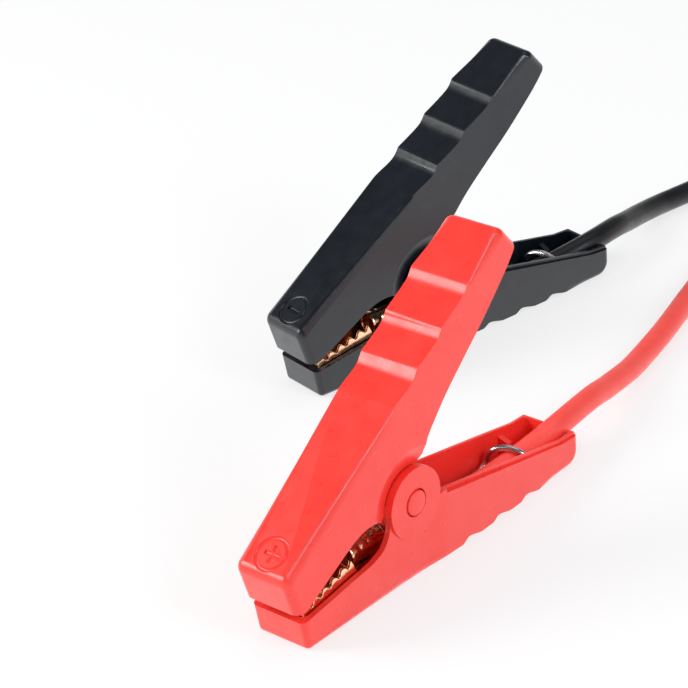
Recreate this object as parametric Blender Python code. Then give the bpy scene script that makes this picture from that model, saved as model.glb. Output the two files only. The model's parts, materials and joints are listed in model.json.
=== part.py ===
"""A pair of sprung battery clamps, each crimped to its own flexible lead, the leads ending in one plug.

Sizes are in millimetres and angles in degrees; MM turns a size into metres. Each clamp is drawn in
its own frame: X runs from nose to tail, Y across, Z up, and the table is Z = 0. One empty places the
clamp and a second one, on the pin's axis, carries the upper half.
"""

import math

import bmesh
import bpy
from mathutils import Matrix, Vector

MM = 0.001
FIT = 0.3  # gap between pieces that touch

# Clamp, seen from the side
LOWER_LENGTH = 105.0
UPPER_LENGTH = 100.7  # along the top, from the front corner to the handle's end
HANDLE_RISE = 33.5
PIVOT_X, PIVOT_Z = 41.0, 20.3
FRONT_X, FRONT_Z = -4.5, 21.2  # upper shell's front corner

# Shell widths and walls
LOWER_NOSE_HALF, LOWER_TAIL_HALF = 8.15, 8.75
UPPER_NOSE_HALF, UPPER_TAIL_HALF = 8.33, 8.57
WALL = 1.5
FLOOR = 2.0
ROOF = 2.5
LOWER_EDGE, UPPER_EDGE = 1.6, 2.2  # fillets along the outer edges
RIM_HIGH_X, RIM_HIGH_Z, RIM_SLOPE = 53.7, 17.0, 0.2  # lower handle's outer rim behind the ear
EDGE_STEPS = 2  # straight pieces in a fillet
TAIL_INSET = 6.5  # the rim's last bend, from the tail
LIP_HEIGHT, LIP_INSET = 0.9, 0.7  # the rim's inner lip
NOSE_RADIUS, TAIL_RADIUS = 1.4, 4.0  # lower shell's bottom corners
FRONT_RADIUS, END_RADIUS = 2.6, 2.4  # upper shell's top corners
RIB_X, RIB_THICK = 93.0, 1.6  # short rib inside each wall near the tail
RIB_REACH, RIB_DROP = 2.0, 1.5

# Hinge
EAR_RADIUS = 9.1
EAR_HALF = 9.0
SWELL_FROM, SWELL_TO = 34.0, 50.0  # where the lower shell widens to the ear's face
EAR_GAP = 0.4  # ear to the recess round it
RECESS_RADIUS = 14.2
RECESS_FLOOR_HALF = 7.5
HUB_RADIUS = 8.0
HUB_INNER_HALF, HUB_OUTER_HALF = 4.85, 6.35
PIN_RADIUS = 1.5
PIN_RUN = 0.05  # running clearance of the pin in the hubs
CAP_RADIUS = 3.2
CAP_THICK = 1.2
CAP_PROUD = 0.3

# Grip of the upper handle: each crest as its place along the top and its height over the straight line
GRIP_CRESTS = ((59.7, 0.1), (71.5, 0.3), (84.0, 0.5))
GRIP_START, GRIP_END = 48.5, 98.0
GRIP_DEPTH = 1.05  # crest to trough
GRIP_DROP = 3.6  # along the top, from a crest to the trough in front of it

# Scallops under the lower handle, by their deepest points
FOOT_SCALLOPS = (59.7, 71.6, 83.0)
FOOT_DEPTH = 1.1
FOOT_RISE, FOOT_FALL = 2.6, 5.4  # before and behind the deepest point
FOOT_FADE = 5.0  # height over which the scallops fade out up the sides

FOOT_STEP, GRIP_STEP = 1.35, 1.5  # spacing of the points along both

# Polarity mark
MARK_ALONG = 5.7
MARK_RADIUS = 4.1
MARK_LINE = 0.8
MARK_DEPTH = 0.5

# Jaws
JAW_THICK = 0.85
TOOTH_PITCH = 3.35
TOOTH_DEPTH = 1.5
TOOTH_SLOPE = 0.24
FIRST_TOOTH_X, FIRST_TOOTH_Z = 2.95, 10.4
LOWER_TEETH = 5
SCALLOP_X, SCALLOP_Z, SCALLOP_SLOPE = 4.4, 12.3, 0.527  # upper jaw's edge
UPPER_SCALLOPS = 4
UPPER_JAW_END = 23.5

# Crimp and lead
LEAD_RADIUS = 3.1
BARREL_X, BARREL_LENGTH = 24.0, 12.0
BARREL_Z = 11.0
BARREL_WALL = 0.7
BARREL_RADIUS = 3.2
NOTCH_Y, NOTCH_Z = -2.1, 8.1  # lead's centre where it leaves over the tail
NOTCH_FIT = 0.6  # room round the sloping lead there

# Torsion spring
WIRE_RADIUS = 0.85
COIL_RADIUS = 3.3
COIL_INNER_Y, COIL_OUTER_Y = 1.2, 3.7
LEG_Y = 5.3

# Where the two clamps stand, and how far the second one is turned
POSITIVE_AT = (-97.32, -37.75)
NEGATIVE_AT = (-3.57, 38.42)
NEGATIVE_TURN = -11.63

# Plug at the leads' end, its mating face towards -X
PLUG_X = 113.9
PLUG_Y = -64.7
PLUG_Z = 5.0
PLUG_LENGTH = 20.0
PLUG_HALF_WIDTH = 10.0
POLE_HALF_PITCH = 4.6
COVER_LENGTH = 7.0
CONTACT_RADIUS = 2.5
SHROUD_RADIUS = 3.7
SHROUD_DEPTH = 12.0
TIE_X = 159.9
TIE_WIDTH = 3.6
TIE_THICK = 1.1
TIE_HALF_PITCH = 3.4

COLOURS = {
    "positive": (0.88, 0.045, 0.035),
    "negative": (0.025, 0.028, 0.032),
}


def clear_scene():
    for old in list(bpy.data.objects):
        bpy.data.objects.remove(old, do_unlink=True)


def material(name, colour, roughness, metallic=0.0):
    """A plain Principled material."""
    made = bpy.data.materials.new(name)
    made.use_nodes = True
    surface = made.node_tree.nodes["Principled BSDF"]
    surface.inputs["Base Color"].default_value = (*colour, 1.0)
    surface.inputs["Roughness"].default_value = roughness
    surface.inputs["Metallic"].default_value = metallic
    return made


# Outlines, as (x, z) in the side view


def arc(centre, radius, start, end, steps):
    """Points on a circle from angle start to angle end."""
    points = []
    for i in range(steps + 1):
        angle = math.radians(start + (end - start) * i / steps)
        points.append((centre[0] + radius * math.cos(angle), centre[1] + radius * math.sin(angle)))
    return points


def rounded(outline, radii, steps=4):
    """The outline with corner number i rounded to radii[i]."""
    points = []
    count = len(outline)
    for i, corner in enumerate(outline):
        if i not in radii:
            points.append(corner)
            continue
        here = Vector(corner)
        back = (Vector(outline[i - 1]) - here).normalized()
        ahead = (Vector(outline[(i + 1) % count]) - here).normalized()
        half = back.angle(ahead) / 2
        centre = here + (back + ahead).normalized() * (radii[i] / math.sin(half))
        first = here + back * (radii[i] / math.tan(half)) - centre
        last = here + ahead * (radii[i] / math.tan(half)) - centre
        sweep = first.angle_signed(last)
        for k in range(steps + 1):
            turned = first.copy()
            turned.rotate(Matrix.Rotation(-sweep * k / steps, 2))
            points.append(tuple(centre + turned))
    return points


def along_top(distance, below=0.0):
    """The point this far along the upper shell's top line from its front corner, and this far under it."""
    rise = math.radians(HANDLE_RISE)
    return (
        FRONT_X + distance * math.cos(rise) + below * math.sin(rise),
        FRONT_Z + distance * math.sin(rise) - below * math.cos(rise),
    )


def rear_rim(x):
    """Height of the lower handle's outer rim behind the ear."""
    return RIM_HIGH_Z - RIM_SLOPE * (x - RIM_HIGH_X)


def smooth_step(share):
    """0 up to 0, 1 from 1, and smooth between."""
    share = max(0.0, min(1.0, share))
    return share * share * (3 - 2 * share)


# Widths, as a half width at each x


def constant(half):
    return lambda x: half


def lower_inner_half(x):
    return LOWER_NOSE_HALF + (LOWER_TAIL_HALF - LOWER_NOSE_HALF) * x / LOWER_LENGTH - WALL


def lower_half(x):
    """Tapered, and behind the hinge swollen out to the ears' faces."""
    plain = lower_inner_half(x) + WALL
    swell = smooth_step((x - SWELL_FROM) / (SWELL_TO - SWELL_FROM))
    fade = smooth_step((LOWER_LENGTH - x) / (LOWER_LENGTH - SWELL_TO))
    return plain + (EAR_HALF - plain) * swell * fade


def upper_half(x):
    reach = along_top(UPPER_LENGTH)[0] - FRONT_X
    return UPPER_NOSE_HALF + (UPPER_TAIL_HALF - UPPER_NOSE_HALF) * (x - FRONT_X) / reach


def narrower(half_width, by):
    return lambda x: half_width(x) - by


# Solids


def solid(name, mesh):
    """The finished object of a bmesh drawn in millimetres."""
    bmesh.ops.recalc_face_normals(mesh, faces=mesh.faces)
    bmesh.ops.scale(mesh, vec=(MM, MM, MM), verts=mesh.verts)
    data = bpy.data.meshes.new(name)
    mesh.to_mesh(data)
    mesh.free()
    made = bpy.data.objects.new(name, data)
    bpy.context.scene.collection.objects.link(made)
    return made


def plate(name, outline, low, high):
    """A solid with this side view, from y=low to y=high."""
    mesh = bmesh.new()
    face = mesh.faces.new([mesh.verts.new((x, low, z)) for x, z in outline])
    grown = bmesh.ops.extrude_face_region(mesh, geom=[face])["geom"]
    lifted = [v for v in grown if isinstance(v, bmesh.types.BMVert)]
    bmesh.ops.translate(mesh, vec=(0, high - low, 0), verts=lifted)
    return solid(name, mesh)


def prism(name, outline, half_width, edge=0.0, shape=None, stations=()):
    """A solid with this side view and this half width at each x, its outer edges filleted, then shaped.

    The sides are divided at each station, so that they can curve in plan.
    """
    mesh = bmesh.new()
    widest = max(half_width(x) for x, _ in outline)
    even = bool(stations)
    near = mesh.faces.new([mesh.verts.new((x, -(widest if even else half_width(x)), z)) for x, z in outline])
    grown = bmesh.ops.extrude_face_region(mesh, geom=[near])["geom"]
    for v in grown:
        if isinstance(v, bmesh.types.BMVert):
            v.co.y = widest if even else half_width(v.co.x)
    if edge:
        sides = [f for f in mesh.faces if len(f.verts) == len(outline) and len(f.verts) > 4]
        rim = {e for f in sides for e in f.edges}
        bmesh.ops.bevel(
            mesh, geom=list(rim), offset=edge, segments=EDGE_STEPS, profile=0.5, affect="EDGES"
        )
    for x in stations:
        everything = mesh.verts[:] + mesh.edges[:] + mesh.faces[:]
        bmesh.ops.bisect_plane(mesh, geom=everything, plane_co=(x, 0, 0), plane_no=(1, 0, 0), dist=1e-5)
    for v in mesh.verts:
        if even:
            v.co.y += math.copysign(widest - half_width(v.co.x), -v.co.y)
    if shape:
        for v in mesh.verts:
            v.co = shape(v.co)
    return solid(name, mesh)


def rod(name, radius, low, high, x=0.0, z=0.0, end_radius=None, sides=24):
    """A cylinder or cone along Y, from y=low to y=high."""
    mesh = bmesh.new()
    lay = Matrix.Translation((x, (low + high) / 2, z)) @ Matrix.Rotation(math.radians(-90), 4, "X")
    bmesh.ops.create_cone(
        mesh,
        cap_ends=True,
        segments=sides,
        radius1=radius,
        radius2=radius if end_radius is None else end_radius,
        depth=high - low,
        matrix=lay,
    )
    return solid(name, mesh)


def rod_along_x(name, radius, low, high, y=0.0, z=0.0, sides=24):
    """A cylinder along X, from x=low to x=high."""
    mesh = bmesh.new()
    lay = Matrix.Translation(((low + high) / 2, y, z)) @ Matrix.Rotation(math.radians(90), 4, "Y")
    bmesh.ops.create_cone(
        mesh, cap_ends=True, segments=sides, radius1=radius, radius2=radius, depth=high - low, matrix=lay
    )
    return solid(name, mesh)


def combine(base, tool, operation):
    """Cuts the tool from the base, joins them, or keeps what they share. The tool is used up."""
    modifier = base.modifiers.new(operation.title(), "BOOLEAN")
    modifier.solver = "EXACT"
    modifier.operation = operation
    modifier.object = tool
    graph = bpy.context.evaluated_depsgraph_get()
    result = bpy.data.meshes.new_from_object(base.evaluated_get(graph))
    base.modifiers.clear()
    base.data = result
    bpy.data.objects.remove(tool, do_unlink=True)
    return base


def cut(base, *tools):
    for tool in tools:
        combine(base, tool, "DIFFERENCE")
    return base


def join(base, *tools):
    for tool in tools:
        combine(base, tool, "UNION")
    return base


def wire(name, points, radius, rings=2):
    """A round wire or tube through these points."""
    data = bpy.data.curves.new(name, "CURVE")
    data.dimensions = "3D"
    data.bevel_depth = radius * MM
    data.bevel_resolution = rings
    data.use_fill_caps = True
    line = data.splines.new("POLY")
    line.points.add(len(points) - 1)
    for point, place in zip(line.points, points):
        point.co = (place[0] * MM, place[1] * MM, place[2] * MM, 1.0)
    made = bpy.data.objects.new(name, data)
    bpy.context.scene.collection.objects.link(made)
    return made


def smooth_route(route, spacing):
    """Evenly spaced points on a smooth curve through the route's points."""
    ends = [2 * route[0] - route[1], *route, 2 * route[-1] - route[-2]]
    fine = []
    for a, b, c, d in zip(ends, ends[1:], ends[2:], ends[3:]):
        for k in range(24):
            t = k / 24
            fine.append(
                0.5
                * (
                    2 * b
                    + (c - a) * t
                    + (2 * a - 5 * b + 4 * c - d) * t * t
                    + (3 * b - a - 3 * c + d) * t ** 3
                )
            )
    fine.append(route[-1])
    total = sum((q - p).length for p, q in zip(fine, fine[1:]))
    count = max(2, round(total / spacing))
    points = [fine[0]]
    run = 0.0
    for p, q in zip(fine, fine[1:]):
        step = (q - p).length
        while len(points) < count and run + step >= len(points) * total / count:
            share = (len(points) * total / count - run) / step
            points.append(p.lerp(q, share))
        run += step
    points.append(fine[-1])
    return points


# One clamp, in its own frame


def lower_outer():
    """The lower shell's outside as if its sides went on up, with points along the scalloped underside."""
    first = FOOT_SCALLOPS[0] - FOOT_RISE
    last = FOOT_SCALLOPS[-1] + FOOT_FALL
    count = round((last - first) / FOOT_STEP)
    foot = [(first + (last - first) * i / count, 0.0) for i in range(count + 1)]
    tail = len(foot) + 1
    corners = [(1.2, 0.0), *foot, (LOWER_LENGTH, 0.0), (LOWER_LENGTH, 40.0), (-4.9, 40.0)]
    return rounded(corners, {0: NOSE_RADIUS, tail: TAIL_RADIUS})


def shape_foot(co):
    """Lifts a point near the underside by the scallop there."""
    lift = 0.0
    for deepest in FOOT_SCALLOPS:
        reach = FOOT_RISE if co.x < deepest else FOOT_FALL
        share = 1 - abs(co.x - deepest) / reach
        lift = max(lift, smooth_step(share))
    fade = max(0.0, 1 - co.z / FOOT_FADE)
    return co + Vector((0, 0, FOOT_DEPTH * lift * fade))


def lower_side():
    """What is left of the lower shell in the side view: foot, nose rim, ear and handle rim."""
    tail_x = LOWER_LENGTH - TAIL_INSET
    return [
        (-10.0, -5.0),
        (LOWER_LENGTH + 10.0, -5.0),
        (LOWER_LENGTH + 10.0, rear_rim(tail_x) - 1.0 + LIP_HEIGHT),
        (tail_x, rear_rim(tail_x) + LIP_HEIGHT),
        (51.1, rear_rim(51.1) + LIP_HEIGHT),
        *arc((PIVOT_X, PIVOT_Z), EAR_RADIUS, -14.0, 186.0, 20),
        (31.7, 17.1),
        (31.0, 15.2),
        (29.0, 12.9),
        (26.5, 11.9),
        (23.5, 11.1),
        (2.5, 8.4),
        (-10.0, 6.7),
    ]


def rim_step(name):
    """What the rim loses outside its inner lip, behind the ear and round the tail."""
    tail_x = LOWER_LENGTH - TAIL_INSET
    above = [
        (52.5, rear_rim(52.5)),
        (tail_x, rear_rim(tail_x)),
        (LOWER_LENGTH + 8.0, rear_rim(tail_x) - 0.9),
        (LOWER_LENGTH + 8.0, 40.0),
        (52.5, 40.0),
    ]
    step = prism(name, above, constant(20.0))
    lip_end = LOWER_LENGTH - LIP_INSET
    core = [(40.0, -1.0), (lip_end, -1.0), (lip_end, 41.0), (40.0, 41.0)]
    stations = [SWELL_TO + 6.0 * i for i in range(1, 9)]
    return cut(step, prism("lip_core", core, narrower(lower_half, LIP_INSET), stations=stations))


def lead_notch():
    """The tool that opens the tail wall for the lead."""
    room = LEAD_RADIUS + NOTCH_FIT
    front, back = LOWER_LENGTH - TAIL_INSET, LOWER_LENGTH + 15.0
    slot = rod_along_x("notch", room, front, back, NOTCH_Y, NOTCH_Z)
    top = [(front, NOTCH_Z), (back, NOTCH_Z), (back, 30.0), (front, 30.0)]
    return join(slot, plate("notch_top", top, NOTCH_Y - room, NOTCH_Y + room))


def dress_ear(shell, side):
    """Adds one ear's outer disc with the seat for its cap, and the short rib near the tail."""
    low, high = sorted((side * (lower_inner_half(PIVOT_X) + 0.2), side * EAR_HALF))
    join(shell, rod("ear", EAR_RADIUS, low, high, PIVOT_X, PIVOT_Z, sides=40))
    low, high = sorted((side * (EAR_HALF + CAP_PROUD - CAP_THICK - FIT), side * 20.0))
    cut(shell, rod("cap_seat", CAP_RADIUS + FIT, low, high, PIVOT_X, PIVOT_Z, sides=28))
    inner = lower_inner_half(RIB_X)
    low, high = sorted((side * (inner - RIB_REACH), side * (inner + 0.4)))
    top = rear_rim(RIB_X) - RIB_DROP
    rib = [
        (RIB_X - RIB_THICK / 2, FLOOR - 0.5),
        (RIB_X + RIB_THICK / 2, FLOOR - 0.5),
        (RIB_X + RIB_THICK / 2, top),
        (RIB_X - RIB_THICK / 2, top),
    ]
    join(shell, plate("rib", rib, low, high))


def lower_shell(name):
    """Channel with a flat foot, a window each side of the jaw, two ears and the open handle."""
    stations = [SWELL_FROM + 4.0 * i for i in range(1, 17)]
    shell = prism(name, lower_outer(), lower_half, LOWER_EDGE, shape_foot, stations)
    combine(shell, plate("side_view", lower_side(), -20.0, 20.0), "INTERSECT")
    cut(shell, rim_step("rim_step"))
    inside = [
        (WALL + 0.4, FLOOR),
        (LOWER_LENGTH - WALL, FLOOR),
        (LOWER_LENGTH - WALL, 45.0),
        (WALL + 0.4, 45.0),
    ]
    cut(shell, prism("inside", inside, lower_inner_half))
    dress_ear(shell, -1)
    dress_ear(shell, 1)
    cut(shell, rod("pin_hole", PIN_RADIUS + PIN_RUN, -15.0, 15.0, PIVOT_X, PIVOT_Z, sides=24))
    return cut(shell, lead_notch())


def grip_height(distance):
    """Height of the top over its straight line: teeth that slope up to a crest and drop in front of it."""
    back, back_height = GRIP_END, 0.0
    for crest, height in reversed(GRIP_CRESTS):
        if distance >= crest:
            share = (back - distance) / (back - crest)
            return back_height + (height - back_height) * max(0.0, share) ** 1.4
        back, back_height = crest - GRIP_DROP, height - GRIP_DEPTH
        if distance > back:
            return height - GRIP_DEPTH * math.sin(math.pi / 2 * (crest - distance) / GRIP_DROP)
    return back_height * smooth_step((distance - GRIP_START) / (back - GRIP_START))


def shape_grip(co):
    """Moves a point near the top by the grip's height there."""
    rise = math.radians(HANDLE_RISE)
    dx, dz = co.x - FRONT_X, co.z - FRONT_Z
    distance = dx * math.cos(rise) + dz * math.sin(rise)
    below = dx * math.sin(rise) - dz * math.cos(rise)
    if below > UPPER_EDGE + 0.5:
        return co
    height = grip_height(distance) * (1 - 0.5 * max(0.0, min(1.0, below / UPPER_EDGE)))
    return co - Vector((math.sin(rise), 0, -math.cos(rise))) * height


def upper_outer():
    """The upper shell's outside as if its sides went on down, with points along the grip."""
    end = along_top(UPPER_LENGTH)
    end_low = (end[0] + 7.5, end[1] - 9.4)
    corners = [(FRONT_X, FRONT_Z), (0.0, 5.0), (60.0, -20.0), end_low, end]
    grip_to = GRIP_CRESTS[-1][0] + 0.01
    count = round((grip_to - GRIP_START) / GRIP_STEP)
    stations = [along_top(grip_to + (GRIP_START - grip_to) * i / count) for i in range(count + 1)]
    return rounded(corners, {0: FRONT_RADIUS, 4: END_RADIUS}) + stations


def upper_side():
    """What is left of the upper shell in the side view."""
    return [
        (-12.0, 11.5),
        (0.5, 11.1),
        (1.8, 11.4),
        (16.4, 19.1),
        (20.2, 20.8),
        (22.7, 21.4),
        (26.0, 21.6),
        (28.2, 21.0),
        (29.8, 19.9),
        *arc((PIVOT_X, PIVOT_Z), EAR_RADIUS + EAR_GAP, 176.0, 71.0, 12),
        (45.9, 30.9),
        (47.4, 35.1),
        (49.9, 37.9),
        (54.9, 43.1),
        (70.0, 56.1),
        (79.4, 65.1),
        (84.3, 70.9),
        (98.0, 87.0),
        (79.4, 100.0),
        (-30.0, 30.0),
    ]


def hub_plate_side():
    """Side view of the thickened wall that carries each hub."""
    pivot = (PIVOT_X, PIVOT_Z)
    return [
        *arc(pivot, HUB_RADIUS, 166.0, 432.0, 26),
        *arc(pivot, RECESS_RADIUS - 0.6, 76.0, 162.0, 8),
    ]


def polarity_mark(kind):
    """The tools that sink a ring and a plus or a minus into the top."""
    x, z = along_top(MARK_ALONG)
    lay = Matrix.Translation((x * MM, 0, z * MM)) @ Matrix.Rotation(
        math.radians(-HANDLE_RISE), 4, "Y"
    )
    ring = rod("mark", MARK_RADIUS + MARK_LINE / 2, -MARK_DEPTH, 3.0, sides=32)
    cut(ring, rod("mark_core", MARK_RADIUS - MARK_LINE / 2, -5.0, 5.0, sides=32))
    arm = 0.6 * MARK_RADIUS
    line = MARK_LINE / 2
    strokes = [[(-line, -arm), (line, -arm), (line, arm), (-line, arm)]]
    if kind == "positive":
        strokes.append([(-arm, -line), (arm, -line), (arm, line), (-arm, line)])
    tools = [ring] + [plate("mark_stroke", s, -MARK_DEPTH, 3.0) for s in strokes]
    stand = Matrix.Rotation(math.radians(90), 4, "X")
    for tool in tools:
        tool.data.transform(lay @ stand)
    return tools


def upper_shell(name, kind):
    """Hood over the jaw that runs on as the upper handle, with the grip, recesses and hub plates."""
    shell = prism(name, upper_outer(), upper_half, UPPER_EDGE, shape_grip)
    combine(shell, plate("side_view", upper_side(), -20.0, 20.0), "INTERSECT")
    front, back = along_top(2.3, ROOF), along_top(UPPER_LENGTH - 2.2, ROOF)
    inside = [
        front,
        (front[0] + 5.0, -10.0),
        (130.0, -10.0),
        (back[0] + 30.0, back[1] - 37.0),
        back,
    ]
    cut(shell, prism("inside", inside, narrower(upper_half, WALL + 0.35)))
    for side_sign in (-1, 1):
        low, high = sorted((side_sign * HUB_INNER_HALF, side_sign * (HUB_OUTER_HALF + 0.6)))
        join(shell, plate("hub", hub_plate_side(), low, high))
        low, high = sorted((side_sign * HUB_OUTER_HALF, side_sign * 20.0))
        well = rod("well", EAR_RADIUS + EAR_GAP, low, high, PIVOT_X, PIVOT_Z, sides=40)
        slope = (RECESS_RADIUS - EAR_RADIUS - EAR_GAP) / (upper_half(PIVOT_X) - RECESS_FLOOR_HALF)
        reach = RECESS_RADIUS + slope * 1.5
        near, far = RECESS_FLOOR_HALF, upper_half(PIVOT_X) + 1.5
        if side_sign > 0:
            cone = rod("cone", EAR_RADIUS + EAR_GAP, near, far, PIVOT_X, PIVOT_Z, reach, 40)
        else:
            cone = rod("cone", reach, -far, -near, PIVOT_X, PIVOT_Z, EAR_RADIUS + EAR_GAP, 40)
        cut(shell, well, cone)
    cut(shell, rod("pin_bore", PIN_RADIUS + PIN_RUN, -15.0, 15.0, PIVOT_X, PIVOT_Z, sides=24))
    return cut(shell, *polarity_mark(kind))


def toothed_edge(start_x, start_z, slope, count):
    """A wavy edge from tail to nose: each tooth rises to a point and falls in a hollow."""
    points = []
    for i in range(count):
        x, z = start_x + i * TOOTH_PITCH, start_z + i * TOOTH_PITCH * slope
        points += [
            (x, z),
            (x + 0.35 * TOOTH_PITCH, z - 0.25 * TOOTH_DEPTH),
            (x + 0.62 * TOOTH_PITCH, z - TOOTH_DEPTH + 0.5 * TOOTH_PITCH * slope),
            (x + 0.86 * TOOTH_PITCH, z - 0.5 * TOOTH_DEPTH + 0.8 * TOOTH_PITCH * slope),
        ]
    last = start_x + count * TOOTH_PITCH
    points.append((last, start_z + count * TOOTH_PITCH * slope))
    return points[::-1]


def lower_jaw(name):
    """Copper trough with a toothed edge each side, and the saddle under the crimp."""
    outer = LOWER_NOSE_HALF - WALL - FIT
    front = WALL + 0.4 + FIT
    back = PIVOT_X - 7.0
    teeth = toothed_edge(FIRST_TOOTH_X, FIRST_TOOTH_Z, TOOTH_SLOPE, LOWER_TEETH)
    outline = [
        (front, FLOOR + FIT),
        (back, FLOOR + FIT),
        (back, 5.6),
        (BARREL_X - 1.5, 8.6),
        (BARREL_X - 3.4, 12.6),
        *teeth,
        (front, FIRST_TOOTH_Z - 0.6),
    ]
    jaw = prism(name, outline, constant(outer))
    inside = [
        (front + JAW_THICK, FLOOR + FIT + JAW_THICK),
        (back + 5.0, FLOOR + FIT + JAW_THICK),
        (back + 5.0, 40.0),
        (front + JAW_THICK, 40.0),
    ]
    cut(jaw, prism("inside", inside, constant(outer - JAW_THICK)))
    top = BARREL_Z - BARREL_RADIUS - FIT
    saddle = [
        (BARREL_X + 1.0, FLOOR + FIT + 0.3),
        (back - 0.6, FLOOR + FIT + 0.3),
        (back - 0.6, top),
        (BARREL_X + 1.0, top),
    ]
    return join(jaw, plate("saddle", saddle, -1.8, 1.8))


def upper_jaw(name):
    """Copper hood under the upper shell's roof, its scalloped edge just under the shell's own."""
    outer = UPPER_NOSE_HALF - WALL - 0.35 - FIT
    front = along_top(2.3, ROOF)
    shift = FIT / math.cos(math.radians(HANDLE_RISE))
    slope = math.tan(math.radians(HANDLE_RISE))
    start = (front[0] + 0.9, front[1] - shift)
    end = (UPPER_JAW_END, start[1] + (UPPER_JAW_END - start[0]) * slope)
    lower_edge = []
    for i in range(UPPER_SCALLOPS):
        x = SCALLOP_X + i * TOOTH_PITCH
        z = SCALLOP_Z + i * TOOTH_PITCH * SCALLOP_SLOPE
        lower_edge += [
            (x, z - 0.7),
            (x + 0.4 * TOOTH_PITCH, z - 0.1),
            (x + 0.7 * TOOTH_PITCH, z + 0.9),
        ]
    lower_edge.append((x + TOOTH_PITCH, z + TOOTH_PITCH * SCALLOP_SLOPE - 0.5))
    outline = [
        start,
        (2.3, 10.35),
        (3.2, 10.6),
        *lower_edge,
        (21.2, 21.2),
        end,
    ]
    jaw = prism(name, outline, constant(outer))
    inside = [
        (start[0] + 1.3, start[1] - JAW_THICK * 0.6),
        (2.3 + JAW_THICK, -10.0),
        (40.0, -10.0),
        (40.0, start[1] - JAW_THICK * 0.6 + (40.0 - start[0] - 1.3) * slope),
    ]
    return cut(jaw, prism("inside", inside, constant(outer - JAW_THICK)))


def crimp_barrel(name):
    """Copper sleeve crimped on the strands, flared at its mouth."""
    back = BARREL_X + BARREL_LENGTH
    sleeve = rod_along_x(name, BARREL_RADIUS, BARREL_X, back, 0.0, BARREL_Z, 20)
    return cut(
        sleeve,
        rod_along_x("bore", BARREL_RADIUS - BARREL_WALL, BARREL_X - 5.0, back + 5.0, 0.0, BARREL_Z, 20),
    )


def conductor(name):
    """Bare strands in the barrel, from just inside its mouth to the cut insulation."""
    radius = BARREL_RADIUS - BARREL_WALL - FIT
    return rod_along_x(
        name, radius, BARREL_X + 0.8, BARREL_X + BARREL_LENGTH + 1.0, 0.0, BARREL_Z, 16
    )


def pivot_pin(name):
    half = EAR_HALF + CAP_PROUD - CAP_THICK - 2 * FIT
    return rod(name, PIN_RADIUS, -half, half, PIVOT_X, PIVOT_Z, sides=24)


def pin_cap(name, side_sign):
    """Round cap over the pin's end, a little proud of the ear."""
    inner, outer = EAR_HALF + CAP_PROUD - CAP_THICK, EAR_HALF + CAP_PROUD
    low, high = sorted((side_sign * inner, side_sign * outer))
    cap = rod(name, CAP_RADIUS, low, high, PIVOT_X, PIVOT_Z, sides=28)
    mesh = bmesh.new()
    mesh.from_mesh(cap.data)
    face = [e for e in mesh.edges if all(abs(abs(v.co.y) - outer * MM) < 1e-6 for v in e.verts)]
    bmesh.ops.bevel(mesh, geom=face, offset=0.25 * MM, segments=1, affect="EDGES")
    mesh.to_mesh(cap.data)
    mesh.free()
    return cap


def spring_path():
    """Centre line of the double torsion spring: arm, coil, leg, bail over the lead, and back."""
    start_angle, end_angle = 157.6, 630.0
    turns = int((end_angle - start_angle) / 30.0)
    arm = math.radians(start_angle - 90.0)
    root = Vector(arc((PIVOT_X, PIVOT_Z), COIL_RADIUS, start_angle, start_angle, 1)[0])
    lean = Vector((math.cos(arm), math.sin(arm)))
    rise = math.tan(math.radians(HANDLE_RISE))
    drop = (ROOF + 2 * FIT + WIRE_RADIUS) / math.cos(math.radians(HANDLE_RISE))
    reach = (FRONT_Z - drop + (root.x - FRONT_X) * rise - root.y) / (lean.y - lean.x * rise)
    tip = root + lean * reach
    half = [
        Vector((tip.x + 4.0, 3.6, tip.y + 4.0 * rise - 0.1)),
        Vector((tip.x + 0.3, 3.5, tip.y - 0.3)),
        Vector((tip.x - 0.5 * lean.x, 3.4, tip.y - 1.6)),
    ]
    for i in range(turns + 1):
        angle = start_angle + (end_angle - start_angle) * i / turns
        x, z = arc((PIVOT_X, PIVOT_Z), COIL_RADIUS, angle, angle, 1)[0]
        half.append(Vector((x, COIL_INNER_Y + (COIL_OUTER_Y - COIL_INNER_Y) * i / turns, z)))
    half += [Vector((46.0, 3.75, 15.9)), Vector((51.0, 3.9, 13.6)), Vector((58.0, 4.8, 9.6))]
    half += [Vector((66.0, LEG_Y, 5.4)), Vector((70.0, LEG_Y, 3.9))]
    near = [Vector((p.x, -p.y, p.z)) for p in half]
    near += [
        Vector((84.0, -LEG_Y, 3.6)),
        Vector((87.6, -LEG_Y, 4.3)),
        Vector((89.0, -LEG_Y, 6.2)),
        Vector((89.0, -4.6, 8.2)),
        Vector((87.7, -3.0, 9.3)),
    ]
    far = half + [
        Vector((75.0, LEG_Y, 3.6)),
        Vector((78.0, LEG_Y, 4.3)),
        Vector((79.2, LEG_Y, 6.2)),
        Vector((79.5, 4.6, 8.2)),
        Vector((80.7, 3.0, 9.3)),
    ]
    middle = [Vector((85.8, -0.6, 9.85)), Vector((82.8, 1.6, 9.8))]
    return near + middle + far[::-1]


def torsion_spring(name):
    return wire(name, spring_path(), WIRE_RADIUS, 1)


# The pair of leads and their plug, in the whole object's frame


def lead_start():
    """The lead's centre line inside the clamp, in the clamp's frame."""
    return [
        Vector((BARREL_X + BARREL_LENGTH + 1.0 + FIT, 0.0, BARREL_Z - 0.1)),
        Vector((44.0, 0.0, 10.0)),
        Vector((55.0, -0.1, 7.0)),
        Vector((66.0, -0.3, 5.8)),
        Vector((84.0, -0.6, 5.5)),
        Vector((96.0, -1.5, 6.7)),
        Vector((LOWER_LENGTH, NOTCH_Y, NOTCH_Z)),
    ]


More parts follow.
